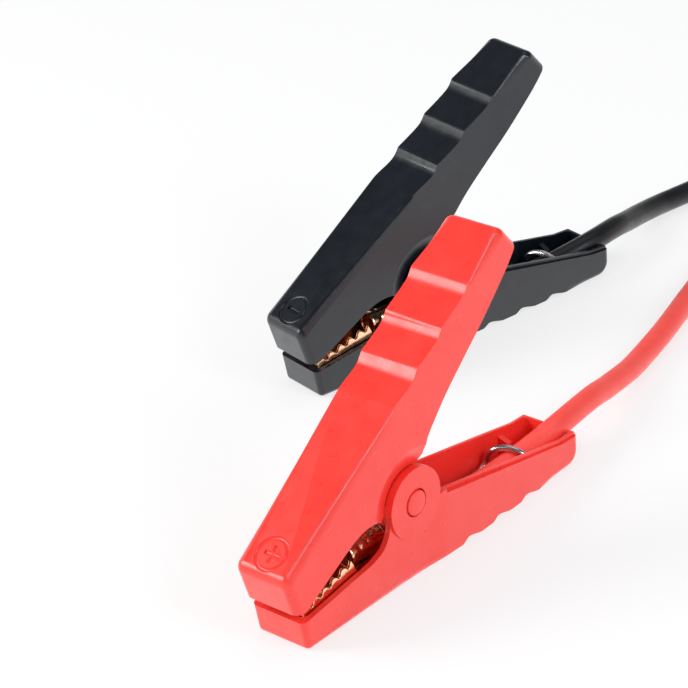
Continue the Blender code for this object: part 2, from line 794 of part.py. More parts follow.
def placed(point, kind):
    """A point of a clamp's frame in the object's frame."""
    spot, turn = (POSITIVE_AT, 0.0) if kind == "positive" else (NEGATIVE_AT, NEGATIVE_TURN)
    turned = Matrix.Rotation(math.radians(turn), 4, "Z") @ point
    return turned + Vector((spot[0], spot[1], 0.0))


def lead_route(kind):
    """The lead from the crimp, over the tail, along the table and back in a fold to the plug."""
    route = [placed(p, kind) for p in lead_start()]
    rest = LEAD_RADIUS + 0.1
    if kind == "positive":
        side = POLE_HALF_PITCH
        out = [(121.6, -0.2, 7.6), (130.4, 1.3, 6.1), (138.9, 2.8, 4.9), (146.2, 4.4, 3.8)]
        out += [(153.8, 6.3, rest), (166.1, 9.0, rest), (177.9, 12.1, rest)]
        out += [(189.1, 15.2, rest), (209.2, 20.4, rest), (232.2, 24.6, rest)]
        out += [(254.2, 25.8, rest), (274.2, 20.6, rest), (287.2, 5.4, rest)]
        out += [(284.7, -12.1, 3.3), (273.2, -22.0, 3.9), (257.2, -23.6, 4.7)]
    else:
        side = -POLE_HALF_PITCH
        out = [(206.3, 52.9, 8.0), (213.8, 54.1, 6.5), (221.7, 55.5, 5.0), (228.6, 56.1, 4.0)]
        out += [(234.8, 56.1, 3.3), (239.8, 55.2, rest), (244.6, 54.2, rest), (262.2, 50.6, rest)]
        out += [(281.2, 45.6, rest), (298.2, 35.8, rest), (309.7, 19.9, rest), (312.7, 1.4, rest)]
        out += [(305.7, -15.6, 3.3), (292.7, -25.6, 3.8), (275.2, -30.0, 4.4)]
        out += [(257.2, -30.4, 4.7)]
    route += [placed(Vector(p), "positive") for p in out]
    behind = PLUG_X + PLUG_LENGTH + COVER_LENGTH
    route.append(Vector((behind + 7.0, PLUG_Y + 0.94 * side, PLUG_Z)))
    route.append(Vector((behind - 3.0, PLUG_Y + side, PLUG_Z)))
    route.append(Vector((PLUG_X + SHROUD_DEPTH + 3.0, PLUG_Y + side, PLUG_Z)))
    return route


def lead(name, kind):
    return wire(name, smooth_route(lead_route(kind), 6.5), LEAD_RADIUS, 2)


def block(name, low_x, high_x, edge):
    """A rounded block as wide and high as the plug."""
    outline = rounded(
        [(low_x, 0.0), (high_x, 0.0), (high_x, 2 * PLUG_Z), (low_x, 2 * PLUG_Z)],
        {0: edge, 1: edge, 2: edge, 3: edge},
        3,
    )
    made = prism(name, outline, constant(PLUG_HALF_WIDTH), edge * 0.8)
    made.data.transform(Matrix.Translation((0, PLUG_Y * MM, 0)))
    return made


def plug_housing(name):
    """Two-pole housing: a round shroud round each contact and a bore behind it for the lead."""
    housing = block(name, PLUG_X, PLUG_X + PLUG_LENGTH, 1.2)
    for side in (-POLE_HALF_PITCH, POLE_HALF_PITCH):
        y = PLUG_Y + side
        wall = PLUG_X + SHROUD_DEPTH
        cut(
            housing,
            rod_along_x("shroud", SHROUD_RADIUS, PLUG_X - 5.0, wall, y, PLUG_Z, 20),
            rod_along_x("throat", CONTACT_RADIUS - 0.8 + FIT, wall - 1.0, wall + 4.0, y, PLUG_Z, 20),
            rod_along_x("lead_bore", LEAD_RADIUS + FIT, wall + 2.7, PLUG_X + 40.0, y, PLUG_Z, 20),
        )
    return housing


def plug_cover(name):
    """Collar behind the housing that holds both leads."""
    start = PLUG_X + PLUG_LENGTH + FIT
    cover = block(name, start, start + COVER_LENGTH, 1.2)
    for side in (-POLE_HALF_PITCH, POLE_HALF_PITCH):
        y = PLUG_Y + side
        cut(cover, rod_along_x("bore", LEAD_RADIUS + FIT, start - 5.0, start + 20.0, y, PLUG_Z, 20))
    return cover


def plug_contact(name, side):
    """Turned contact: a slotted nose in the shroud and a thin tail through the housing's wall."""
    y = PLUG_Y + side
    wall = PLUG_X + SHROUD_DEPTH
    contact = rod_along_x(name, CONTACT_RADIUS, PLUG_X + 1.2, wall - FIT, y, PLUG_Z, 20)
    join(contact, rod_along_x("tail", CONTACT_RADIUS - 0.8, wall - 1.0, wall + 2.4, y, PLUG_Z, 20))
    slot = plate(
        "slot",
        [(PLUG_X - 3.0, 0.0), (PLUG_X + 8.0, 0.0), (PLUG_X + 8.0, 12.0), (PLUG_X - 3.0, 12.0)],
        y - 0.35,
        y + 0.35,
    )
    return cut(contact, slot)


def lead_tie(name):
    """Strap round both leads just before the plug, with its lock on top."""

    def loop(grow):
        radius = LEAD_RADIUS + FIT + grow
        right = arc((TIE_HALF_PITCH, 4.7), radius, -90.0, 90.0, 8)
        left = arc((-TIE_HALF_PITCH, 4.7), radius, 90.0, 270.0, 8)
        return right + left

    half = TIE_WIDTH / 2
    tie = plate(name, loop(TIE_THICK), -half, half)
    top = 4.7 + LEAD_RADIUS + FIT
    lock = [(-2.6, top + 0.2), (1.4, top + 0.2), (1.4, top + 3.2), (-2.6, top + 3.2)]
    join(tie, plate("lock", lock, -half - 0.7, half + 0.7))
    stub = [(1.0, top + 1.4), (4.6, top + 1.4), (4.6, top + 2.2), (1.0, top + 2.2)]
    join(tie, plate("stub", stub, -half + 0.3, half - 0.3))
    cut(tie, plate("hole", loop(0.0), -half - 9.0, half + 9.0))
    turn = Matrix.Translation((TIE_X * MM, PLUG_Y * MM, 0)) @ Matrix.Rotation(math.radians(90), 4, "Z")
    tie.data.transform(turn)
    return tie


# Putting it together


def empty(name, location, turn=0.0, parent=None):
    made = bpy.data.objects.new(name, None)
    bpy.context.scene.collection.objects.link(made)
    made.location = Vector(location) * MM
    made.rotation_euler = (0, 0, math.radians(turn))
    made.empty_display_size = 0.01
    made.parent = parent
    return made


def finish(made, surface, parent=None, offset=(0.0, 0.0, 0.0)):
    """Gives the piece its material and shading, and hangs it on its parent."""
    made.data.materials.clear()
    made.data.materials.append(surface)
    if made.type == "MESH":
        if any(offset):
            made.data.transform(Matrix.Translation(Vector(offset) * -MM))
        made.data.shade_smooth()
        made.data.set_sharp_from_angle(angle=math.radians(34))
    made.parent = parent
    return made


def clamp(kind, spot, turn, surfaces):
    """One whole clamp at its place on the table."""
    base = empty(f"{kind}_clamp_frame", (*spot, 0.0), turn)
    hinge = empty(f"{kind}_hinge_axis", (PIVOT_X, 0.0, PIVOT_Z), parent=base)
    plastic, copper = surfaces[kind], surfaces["copper"]
    fixed = [
        (lower_shell(f"{kind}_lower_shell"), plastic),
        (lower_jaw(f"{kind}_lower_jaw"), copper),
        (crimp_barrel(f"{kind}_crimp_barrel"), copper),
        (conductor(f"{kind}_conductor"), surfaces["strands"]),
        (pivot_pin(f"{kind}_pivot_pin"), surfaces["steel"]),
        (pin_cap(f"{kind}_pin_cap_near", -1), plastic),
        (pin_cap(f"{kind}_pin_cap_far", 1), plastic),
        (torsion_spring(f"{kind}_torsion_spring"), surfaces["spring"]),
    ]
    for made, surface in fixed:
        finish(made, surface, base)
    for made, surface in (
        (upper_shell(f"{kind}_upper_shell", kind), plastic),
        (upper_jaw(f"{kind}_upper_jaw"), copper),
    ):
        finish(made, surface, hinge, (PIVOT_X, 0.0, PIVOT_Z))
    finish(lead(f"{kind}_lead", kind), surfaces[f"{kind}_jacket"])


def main():
    clear_scene()
    surfaces = {
        "positive": material("red plastic", COLOURS["positive"], 0.38),
        "negative": material("black plastic", COLOURS["negative"], 0.42),
        "positive_jacket": material("red silicone", (0.85, 0.06, 0.045), 0.5),
        "negative_jacket": material("black silicone", (0.02, 0.02, 0.022), 0.5),
        "copper": material("copper plate", (0.78, 0.38, 0.22), 0.22, 1.0),
        "strands": material("copper strands", (0.6, 0.26, 0.13), 0.4, 1.0),
        "steel": material("pin steel", (0.6, 0.6, 0.62), 0.35, 1.0),
        "spring": material("spring steel", (0.7, 0.71, 0.73), 0.28, 1.0),
        "plug": material("plug nylon", (0.02, 0.07, 0.3), 0.45),
        "brass": material("contact brass", (0.8, 0.6, 0.25), 0.25, 1.0),
        "tie": material("tie nylon", (0.03, 0.03, 0.03), 0.5),
    }
    clamp("positive", POSITIVE_AT, 0.0, surfaces)
    clamp("negative", NEGATIVE_AT, NEGATIVE_TURN, surfaces)
    finish(plug_housing("plug_housing"), surfaces["plug"])
    finish(plug_cover("plug_cover"), surfaces["plug"])
    finish(plug_contact("positive_plug_contact", POLE_HALF_PITCH), surfaces["brass"])
    finish(plug_contact("negative_plug_contact", -POLE_HALF_PITCH), surfaces["brass"])
    finish(lead_tie("lead_tie"), surfaces["tie"])


main()
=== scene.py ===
"""Looks for a pair of sprung battery clamps with their leads and plug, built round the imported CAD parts.

Clamp pieces are drawn in millimetres in the clamp's own frame (X from nose to tail, Y across, Z up,
the table at Z = 0) and then placed in the frame of the whole object, in metres.
"""

import json
import logging
import math
from dataclasses import dataclass, field
from enum import Enum
from typing import Callable, Sequence

import bmesh
import bpy
from mathutils import Matrix, Vector

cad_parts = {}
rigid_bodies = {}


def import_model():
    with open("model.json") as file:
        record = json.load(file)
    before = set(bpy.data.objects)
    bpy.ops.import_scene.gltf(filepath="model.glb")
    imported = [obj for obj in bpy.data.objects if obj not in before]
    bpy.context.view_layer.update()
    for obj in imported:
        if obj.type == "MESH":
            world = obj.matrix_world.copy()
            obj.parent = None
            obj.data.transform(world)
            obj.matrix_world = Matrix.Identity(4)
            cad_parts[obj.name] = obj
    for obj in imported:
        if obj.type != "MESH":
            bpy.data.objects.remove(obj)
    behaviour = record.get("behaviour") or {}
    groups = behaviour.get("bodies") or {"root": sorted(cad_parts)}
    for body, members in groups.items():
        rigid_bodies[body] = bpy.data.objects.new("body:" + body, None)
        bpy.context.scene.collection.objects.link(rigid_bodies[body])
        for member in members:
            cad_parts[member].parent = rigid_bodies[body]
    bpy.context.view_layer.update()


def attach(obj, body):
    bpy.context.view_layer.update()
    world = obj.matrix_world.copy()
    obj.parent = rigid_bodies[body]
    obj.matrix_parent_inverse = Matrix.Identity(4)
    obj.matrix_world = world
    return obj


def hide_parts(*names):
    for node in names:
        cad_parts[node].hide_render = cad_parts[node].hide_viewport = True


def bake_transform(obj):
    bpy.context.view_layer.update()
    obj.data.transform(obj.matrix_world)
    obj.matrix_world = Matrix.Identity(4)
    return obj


logging.basicConfig(level=logging.INFO, format="%(message)s")
log = logging.getLogger("battery clamps")

MM = 0.001
FIT = 0.3
Outline = list[tuple[float, float]]
HalfWidth = Callable[[float], float]


class Pole(Enum):
    """The two clamps: the start of their pieces' names."""

    POSITIVE = "positive"
    NEGATIVE = "negative"


# Shaders


def linear(shade: str) -> tuple[float, float, float, float]:
    """Turns an sRGB hex colour into linear light.

    Args:
        shade: Six hex digits after a hash.

    Returns:
        Red, green, blue and an alpha of 1.
    """
    parts = [int(shade[i : i + 2], 16) / 255 for i in (1, 3, 5)]
    light = [p / 12.92 if p <= 0.04045 else ((p + 0.055) / 1.055) ** 2.4 for p in parts]
    return (light[0], light[1], light[2], 1.0)


def add_node(tree: bpy.types.NodeTree, kind: str, inputs: dict | None = None, **settings) -> bpy.types.Node:
    """Adds a node.

    Args:
        tree: The material's or world's node tree.
        kind: The node's type.
        inputs: A value, or an output socket to link, for each input by name or number.
        settings: The node's own properties.

    Returns:
        The new node.
    """
    node = tree.nodes.new(kind)
    for name, value in settings.items():
        setattr(node, name, value)
    for key, value in (inputs or {}).items():
        if isinstance(value, bpy.types.NodeSocket):
            tree.links.new(value, node.inputs[key])
        else:
            node.inputs[key].default_value = value
    return node


def noise_of(tree: bpy.types.NodeTree, size_mm: float, detail: float = 2.0) -> bpy.types.NodeSocket:
    """A noise on Object coordinates whose features are about this many millimetres across.

    Args:
        tree: The material's node tree.
        size_mm: Width of a feature.
        detail: How many finer layers it has.

    Returns:
        Its value, mostly between 0.3 and 0.7.
    """
    place = add_node(tree, "ShaderNodeTexCoord").outputs["Object"]
    inputs = {"Vector": place, "Scale": 1.0 / (size_mm * MM), "Detail": detail, "Roughness": 0.55}
    return add_node(tree, "ShaderNodeTexNoise", inputs).outputs["Fac"]


def ramp_of(
    tree: bpy.types.NodeTree, value: bpy.types.NodeSocket, low: float, high: float
) -> bpy.types.NodeSocket:
    """The value stretched from its usual 0.3 to 0.7 to another range.

    Args:
        tree: The material's node tree.
        value: A noise's value.
        low: The new range's low end.
        high: The new range's high end.

    Returns:
        The stretched value.
    """
    inputs = {"Value": value, "From Min": 0.3, "From Max": 0.7, "To Min": low, "To Max": high}
    return add_node(tree, "ShaderNodeMapRange", inputs).outputs["Result"]


def mixed(
    tree: bpy.types.NodeTree, value: bpy.types.NodeSocket, first: str, second: str
) -> bpy.types.NodeSocket:
    """A colour between two sRGB shades by a value from 0 to 1.

    Args:
        tree: The material's node tree.
        value: What chooses between the shades.
        first: The shade at 0.
        second: The shade at 1.

    Returns:
        The mixed colour.
    """
    mix = add_node(tree, "ShaderNodeMix", data_type="RGBA")
    tree.links.new(value, mix.inputs["Factor"])
    colours = [s for s in mix.inputs if s.type == "RGBA"]
    colours[0].default_value, colours[1].default_value = linear(first), linear(second)
    return next(s for s in mix.outputs if s.type == "RGBA")


@dataclass(frozen=True)
class Finish:
    """A surface as it was made, and the record's material slot it stands for."""

    name: str
    slot: str
    shade: str
    shade_two: str
    roughness: float
    roughness_spread: float
    grain_mm: float
    grain_depth_mm: float
    patch_mm: float = 9.0
    metallic: float = 0.0
    ior: float = 1.5
    coat: float = 0.0

    def material(self) -> bpy.types.Material:
        """Builds the material, or gives the one that is already there.

        Returns:
            A Principled material with patchy colour and gloss and a fine grain.
        """
        found = bpy.data.materials.get(self.name)
        if found:
            return found
        made = bpy.data.materials.new(self.name)
        made.use_nodes = True
        tree = made.node_tree
        surface = tree.nodes["Principled BSDF"]
        surface.inputs["Metallic"].default_value = self.metallic
        if not self.metallic:
            surface.inputs["IOR"].default_value = self.ior
        surface.inputs["Coat Weight"].default_value = self.coat
        patches = noise_of(tree, self.patch_mm)
        blend = ramp_of(tree, patches, 0.0, 1.0)
        tree.links.new(mixed(tree, blend, self.shade, self.shade_two), surface.inputs["Base Color"])
        low, high = self.roughness - self.roughness_spread, self.roughness + self.roughness_spread
        gloss = ramp_of(tree, noise_of(tree, self.patch_mm * 0.4), low, high)
        tree.links.new(gloss, surface.inputs["Roughness"])
        self.relief(tree, surface)
        return made

    def relief(self, tree: bpy.types.NodeTree, surface: bpy.types.Node) -> None:
        """Gives the surface its grain as a bump.

        Args:
            tree: The material's node tree.
            surface: Its Principled node.
        """
        grain = noise_of(tree, self.grain_mm, 3.0)
        inputs = {"Height": grain, "Distance": self.grain_depth_mm * MM, "Strength": 0.6}
        bump = add_node(tree, "ShaderNodeBump", inputs)
        tree.links.new(bump.outputs["Normal"], surface.inputs["Normal"])


@dataclass(frozen=True)
class DrawnMetal(Finish):
    """Metal drawn or turned, with fine lines along one axis."""

    lines_mm: float = 0.25
    along: tuple[float, float, float] = (0.0, 1.0, 0.0)

    def relief(self, tree: bpy.types.NodeTree, surface: bpy.types.Node) -> None:
        """Gives the surface fine lines, much longer along the drawing direction than across it.

        Args:
            tree: The material's node tree.
            surface: Its Principled node.
        """
        place = add_node(tree, "ShaderNodeTexCoord").outputs["Object"]
        stretch = tuple(0.04 if a else 1.0 for a in self.along)
        turned = add_node(tree, "ShaderNodeMapping", {"Vector": place, "Scale": stretch}).outputs["Vector"]
        inputs = {"Vector": turned, "Scale": 1.0 / (self.lines_mm * MM), "Detail": 2.0}
        lines = add_node(tree, "ShaderNodeTexNoise", inputs).outputs["Fac"]
        bump_in = {"Height": lines, "Distance": self.grain_depth_mm * MM, "Strength": 0.5}
        bump = add_node(tree, "ShaderNodeBump", bump_in)
        tree.links.new(bump.outputs["Normal"], surface.inputs["Normal"])


# Injection-moulded polypropylene: satin, with a spark-eroded grain drawn coarser than its 0.05 mm
RED_SHELL = Finish("moulded red PP", "red_plastic", "#F8362C", "#FB3E34", 0.31, 0.05, 0.5, 0.012, ior=1.49)
# The blue tint in these dark shades is a painted reflection of cool light; the near-black is the plastic's
# own colour
BLACK_SHELL = Finish(
    "moulded black PP with painted blue reflection", "black_plastic", "#0A1017", "#10161F", 0.32, 0.05, 0.5, 0.012, ior=1.5
)
# Silicone rubber jacket, extruded: smooth and a little waxy
RED_JACKET = Finish(
    "red silicone jacket", "red_silicone", "#FA4D44", "#FC554B", 0.44, 0.05, 1.2, 0.02, ior=1.43
)
BLACK_JACKET = Finish(
    "black silicone jacket", "black_silicone", "#0D0F12", "#15181C", 0.4, 0.05, 1.2, 0.02, ior=1.43
)
# Pressed steel with bright copper plating: mirror-like, a little darker where it has tarnished
COPPER = Finish(
    "copper-plated steel", "copper_plate", "#FBCBA6", "#F0B48A", 0.2, 0.06, 2.5, 0.02, 4.0, metallic=1.0
)
# Bare annealed copper strands: dull and redder
STRANDS = DrawnMetal(
    "bare copper strands", "copper_strands", "#C87548", "#9A4F2C", 0.38, 0.08, 0.3, 0.02, 1.5,
    metallic=1.0, along=(1.0, 0.0, 0.0), lines_mm=0.3,
)
# Nickel-plated spring wire: bright, with drawing lines
SPRING_WIRE = DrawnMetal(
    "nickel-plated spring wire", "spring_steel", "#D8D9DA", "#C4C6C9", 0.22, 0.05, 0.3, 0.01, 6.0,
    metallic=1.0, along=(1.0, 0.0, 0.0),
)
# Plain turned steel
PIN_STEEL = DrawnMetal(
    "turned pin steel", "pin_steel", "#B9BABD", "#A9AAAE", 0.32, 0.05, 0.3, 0.01, 5.0,
    metallic=1.0, along=(0.0, 1.0, 0.0),
)
# Glass-filled nylon: dull, with a fine sparkle of fibre
PLUG_NYLON = Finish("glass-filled blue nylon", "plug_nylon", "#1F4E9E", "#2456A8", 0.46, 0.06, 0.4, 0.02)
BRASS = DrawnMetal(
    "gold-flashed turned brass", "contact_brass", "#E4BE6B", "#D6AC58", 0.2, 0.04, 0.3, 0.01, 5.0,
    metallic=1.0, along=(1.0, 0.0, 0.0),
)
TIE_NYLON = Finish("black nylon tie", "tie_nylon", "#16181B", "#1D2023", 0.42, 0.05, 0.6, 0.015)


# Outlines, as (x, z) in the side view


def arc(centre: tuple[float, float], radius: float, start: float, end: float, steps: int) -> Outline:
    """Points on a circle from angle start to angle end, in degrees."""
    angles = [math.radians(start + (end - start) * i / steps) for i in range(steps + 1)]
    return [(centre[0] + radius * math.cos(a), centre[1] + radius * math.sin(a)) for a in angles]


def rounded(outline: Outline, radii: dict[int, float], steps: int = 8) -> Outline:
    """Rounds chosen corners of an outline.

    Args:
        outline: The corners in order.
        radii: The radius for each corner number that is rounded.
        steps: How many straight pieces stand for each round corner.

    Returns:
        The outline with its corners as arcs.
    """
    points: Outline = []
    count = len(outline)
    for i, corner in enumerate(outline):
        if i not in radii:
            points.append(corner)
            continue
        here = Vector(corner)
        back = (Vector(outline[i - 1]) - here).normalized()
        ahead = (Vector(outline[(i + 1) % count]) - here).normalized()
        half = back.angle(ahead) / 2
        centre = here + (back + ahead).normalized() * (radii[i] / math.sin(half))
        first = here + back * (radii[i] / math.tan(half)) - centre
        last = here + ahead * (radii[i] / math.tan(half)) - centre
        sweep = first.angle_signed(last)
        for k in range(steps + 1):
            turned = first.copy()
            turned.rotate(Matrix.Rotation(-sweep * k / steps, 2))
            points.append(tuple(centre + turned))
    return points


def smooth_line(route: Sequence[Vector], spacing: float) -> list[Vector]:
    """Evenly spaced points on a smooth curve through a route.

    Args:
        route: The listed points.
        spacing: The distance between the points that come back.

    Returns:
        Points from the route's first to its last.
    """
    ends = [2 * route[0] - route[1], *route, 2 * route[-1] - route[-2]]
    fine: list[Vector] = []
    for a, b, c, d in zip(ends, ends[1:], ends[2:], ends[3:]):
        for k in range(24):
            t = k / 24
            bend = (2 * a - 5 * b + 4 * c - d) * t * t + (3 * b - a - 3 * c + d) * t**3
            fine.append(0.5 * (2 * b + (c - a) * t + bend))
    fine.append(route[-1])
    total = sum((q - p).length for p, q in zip(fine, fine[1:]))
    count = max(2, round(total / spacing))
    points, run = [fine[0]], 0.0
    for p, q in zip(fine, fine[1:]):
        step = (q - p).length
        while len(points) < count and run + step >= len(points) * total / count:
            points.append(p.lerp(q, (len(points) * total / count - run) / step))
        run += step
    points.append(fine[-1])
    return points


def smooth_step(share: float) -> float:
    """0 up to 0, 1 from 1, and smooth between."""
    share = max(0.0, min(1.0, share))
    return share * share * (3 - 2 * share)


def constant(half: float) -> HalfWidth:
    """A half width that is the same everywhere."""
    return lambda x: half


def narrower(half_width: HalfWidth, by: float) -> HalfWidth:
    """The same half width less a wall."""
    return lambda x: half_width(x) - by


def rectangle(left: float, bottom: float, right: float, top: float) -> Outline:
    """An upright rectangle, from its lower left corner."""
    return [(left, bottom), (right, bottom), (right, top), (left, top)]


# Solids, drawn in millimetres


def linked(name: str, data: bpy.types.ID) -> bpy.types.Object:
    """A new object with this data.

    Args:
        name: The object's name.
        data: Its mesh, curve, lamp or camera.

    Returns:
        The object, linked to the scene.
    """
    made = bpy.data.objects.new(name, data)
    bpy.context.scene.collection.objects.link(made)
    return made


def to_object(name: str, mesh: bmesh.types.BMesh) -> bpy.types.Object:
    """The object of a finished bmesh, still in millimetres, its faces outwards.

    Args:
        name: The object's name.
        mesh: The mesh, which is freed.

    Returns:
        The object, linked to the scene.
    """
    bmesh.ops.recalc_face_normals(mesh, faces=mesh.faces)
    data = bpy.data.meshes.new(name)
    mesh.to_mesh(data)
    mesh.free()
    return linked(name, data)


def prism(
    name: str,
    outline: Outline,
    half_width: HalfWidth,
    edge: float = 0.0,
    steps: int = 6,
    stations: Sequence[float] = (),
    shape: Callable[[Vector], Vector] | None = None,
) -> bpy.types.Object:
    """A solid with this side view and this half width at each x.

    Args:
        name: The object's name.
        outline: The side view.
        half_width: Half the width at each x.
        edge: Radius of the fillet along both sides' edges.
        steps: Straight pieces in the fillet.
        stations: Each x where the sides are divided, so that they can curve in plan.
        shape: Moves each finished point.

    Returns:
        The solid, in millimetres.
    """
    mesh = bmesh.new()
    widest = max(half_width(x) for x, _ in outline)
    drawn = constant(widest) if stations else half_width
    near = mesh.faces.new([mesh.verts.new((x, -drawn(x), z)) for x, z in outline])
    grown = bmesh.ops.extrude_face_region(mesh, geom=[near])["geom"]
    for v in grown:
        if isinstance(v, bmesh.types.BMVert):
            v.co.y = drawn(v.co.x)
    if edge:
        sides = [f for f in mesh.faces if len(f.verts) == len(outline) and len(f.verts) > 4]
        rim = list({e for f in sides for e in f.edges})
        bmesh.ops.bevel(mesh, geom=rim, offset=edge, segments=steps, profile=0.5, affect="EDGES", material=-1)
    for x in stations:
        everything = mesh.verts[:] + mesh.edges[:] + mesh.faces[:]
        bmesh.ops.bisect_plane(mesh, geom=everything, plane_co=(x, 0, 0), plane_no=(1, 0, 0), dist=1e-5)
    for v in mesh.verts:
        if stations:
            v.co.y += math.copysign(widest - half_width(v.co.x), -v.co.y)
        if shape:
            v.co = shape(v.co)
    return to_object(name, mesh)


def plate(name: str, outline: Outline, low: float, high: float) -> bpy.types.Object:
    """A solid with this side view, from y=low to y=high.

    Args:
        name: The object's name.
        outline: The side view.
        low: Where its near side is.
        high: Where its far side is.

    Returns:
        The solid, in millimetres.
    """
    made = prism(name, outline, constant((high - low) / 2))
    made.data.transform(Matrix.Translation((0, (low + high) / 2, 0)))
    return made


def turned(
    name: str,
    profile: Sequence[tuple[float, float]],
    at: tuple[float, float, float],
    axis: str,
    sides: int = 64,
) -> bpy.types.Object:
    """A round piece spun from a profile.

    Args:
        name: The object's name.
        profile: (radius, along) pairs; a radius of 0 lies on the axis.
        at: Where along=0 of the axis is.
        axis: "X" or "Y".
        sides: Number of facets round it.

    Returns:
        The solid, in millimetres.
    """
    mesh = bmesh.new()
    verts = [mesh.verts.new((radius, 0, along)) for radius, along in profile]
    edges = [mesh.edges.new(pair) for pair in zip(verts, verts[1:])]
    if profile[0][0] > 0 and profile[-1][0] > 0:
        edges.append(mesh.edges.new((verts[-1], verts[0])))
    bmesh.ops.spin(
        mesh, geom=verts + edges, cent=(0, 0, 0), axis=(0, 0, 1), angle=math.tau, steps=sides, use_merge=True
    )
    bmesh.ops.remove_doubles(mesh, verts=mesh.verts, dist=1e-4)
    turn, about = (90.0, "Y") if axis == "X" else (-90.0, "X")
    lay = Matrix.Rotation(math.radians(turn), 4, about)
    bmesh.ops.transform(mesh, matrix=Matrix.Translation(at) @ lay, verts=mesh.verts)
    return to_object(name, mesh)


def rod(name: str, radius: float, low: float, high: float, x: float, z: float, end: float | None = None,
        sides: int = 72) -> bpy.types.Object:
    """A cylinder or cone along Y, from y=low to y=high."""
    last = radius if end is None else end
    return turned(name, [(0, low), (radius, low), (last, high), (0, high)], (x, 0, z), "Y", sides)


def rod_along_x(name: str, radius: float, low: float, high: float, y: float, z: float, sides: int = 48
                ) -> bpy.types.Object:
    """A cylinder along X, from x=low to x=high."""
    return turned(name, [(0, low), (radius, low), (radius, high), (0, high)], (0, y, z), "X", sides)


def combine(base: bpy.types.Object, tool: bpy.types.Object, operation: str) -> bpy.types.Object:
    """Joins the tool to the base, cuts it away or keeps the common part; the tool is used up.

    Args:
        base: The solid that changes.
        tool: The other solid.
        operation: UNION, DIFFERENCE or INTERSECT.

    Returns:
        The base.
    """
    modifier = base.modifiers.new(operation.title(), "BOOLEAN")
    modifier.solver = "EXACT"
    modifier.operation = operation
    modifier.object = tool
    graph = bpy.context.evaluated_depsgraph_get()
    result = bpy.data.meshes.new_from_object(base.evaluated_get(graph))
    base.modifiers.clear()
    base.data = result
    bpy.data.objects.remove(tool, do_unlink=True)
    return base


def cut(base: bpy.types.Object, *tools: bpy.types.Object) -> bpy.types.Object:
    """Cuts each tool from the base.

    Args:
        base: The solid that is cut.
        tools: What it loses; they are used up.

    Returns:
        The base.
    """
    for tool in tools:
        combine(base, tool, "DIFFERENCE")
    return base


def join(base: bpy.types.Object, *tools: bpy.types.Object) -> bpy.types.Object:
    """Joins each tool to the base.

    Args:
        base: The solid that grows.
        tools: What it gains; they are used up.

    Returns:
        The base.
    """
    for tool in tools:
        combine(base, tool, "UNION")
    return base


def ease_edges(made: bpy.types.Object, size: float, angle: float = 34.0, steps: int = 2) -> bpy.types.Object:
    """Breaks every edge sharper than the angle, as a mould or a tumbler does.

    Args:
        made: The piece, in millimetres.
        size: Width of the broken edge.
        angle: The smallest turn between faces, in degrees, that counts as an edge.
        steps: Straight pieces in the round.

    Returns:
        The same piece.
    """
    mesh = bmesh.new()
    mesh.from_mesh(made.data)
    bmesh.ops.remove_doubles(mesh, verts=mesh.verts, dist=2e-3)
    bmesh.ops.dissolve_degenerate(mesh, edges=mesh.edges, dist=1e-3)
    bmesh.ops.dissolve_limit(
        mesh, angle_limit=math.radians(0.4), verts=mesh.verts, edges=mesh.edges, use_dissolve_boundaries=False
    )
    sharp = [e for e in mesh.edges if e.is_manifold and e.calc_face_angle(0.0) > math.radians(angle)]
    bmesh.ops.bevel(
        mesh, geom=sharp, offset=size, segments=steps, profile=0.5, affect="EDGES", clamp_overlap=True,
        material=-1,
    )
    bmesh.ops.recalc_face_normals(mesh, faces=mesh.faces)
    mesh.to_mesh(made.data)
    mesh.free()
    return made


def finish(
    made: bpy.types.Object, look: Finish, place: Matrix, body: str | None, *nodes: str, sharp: float = 40.0
) -> bpy.types.Object:
    """Places a piece, shades it, gives it its material and hands it to its body.

    Args:
        made: The piece, drawn in millimetres.
        look: Its finish.
        place: From the clamp's frame to the object's, both in millimetres.
        body: The body it rides on, or None to leave it on none.
        nodes: The CAD nodes it stands for.
        sharp: Turn between faces, in degrees, past which an edge stays crisp.

    Returns:
        The finished piece.
    """
    made.data.transform(Matrix.Scale(MM, 4) @ place)
    made.data.materials.clear()
    made.data.materials.append(look.material())
    made.data.shade_smooth()
    made.data.set_sharp_from_angle(angle=math.radians(sharp))
    weigh = made.modifiers.new("Weighted Normals", "WEIGHTED_NORMAL")
    weigh.keep_sharp = True
    weigh.weight = 50
    if nodes:
        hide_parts(*nodes)
    if body:
        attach(made, body)
    log.info("%s: %d faces", made.name, len(made.data.polygons))
    return made


def wire_curve(name: str, points: Sequence[Vector], radius: float, resolution: int) -> bpy.types.Curve:
    """A curve of one open spline with a round section.

    Args:
        name: The curve's name.
        points: Its centre line.
        radius: Half its thickness, in the points' unit.
        resolution: Its bevel resolution.

    Returns:
        The curve, with its ends closed.
    """
    data = bpy.data.curves.new(name, "CURVE")
    data.dimensions = "3D"
    data.bevel_depth = radius
    data.bevel_resolution = resolution
    data.use_fill_caps = True
    line = data.splines.new("POLY")
    line.points.add(len(points) - 1)
    for point, place in zip(line.points, points):
        point.co = (*place, 1.0)
    return data


def tube(name: str, points: Sequence[Vector], radius: float, sides: int = 16) -> bpy.types.Object:
    """A round wire as a mesh, with flat ends.

    Args:
        name: The object's name.
        points: Its centre line.
        radius: Half its thickness.
        sides: Number of facets round it.

    Returns:
        The wire, in millimetres.
    """
    carrier = linked(name + " line", wire_curve(name + " line", points, radius, sides // 2 - 2))
    graph = bpy.context.evaluated_depsgraph_get()
    mesh = bmesh.new()
    mesh.from_mesh(bpy.data.meshes.new_from_object(carrier.evaluated_get(graph)))
    bpy.data.objects.remove(carrier, do_unlink=True)
    bmesh.ops.remove_doubles(mesh, verts=mesh.verts, dist=1e-3)
    return to_object(name, mesh)


# The clamp


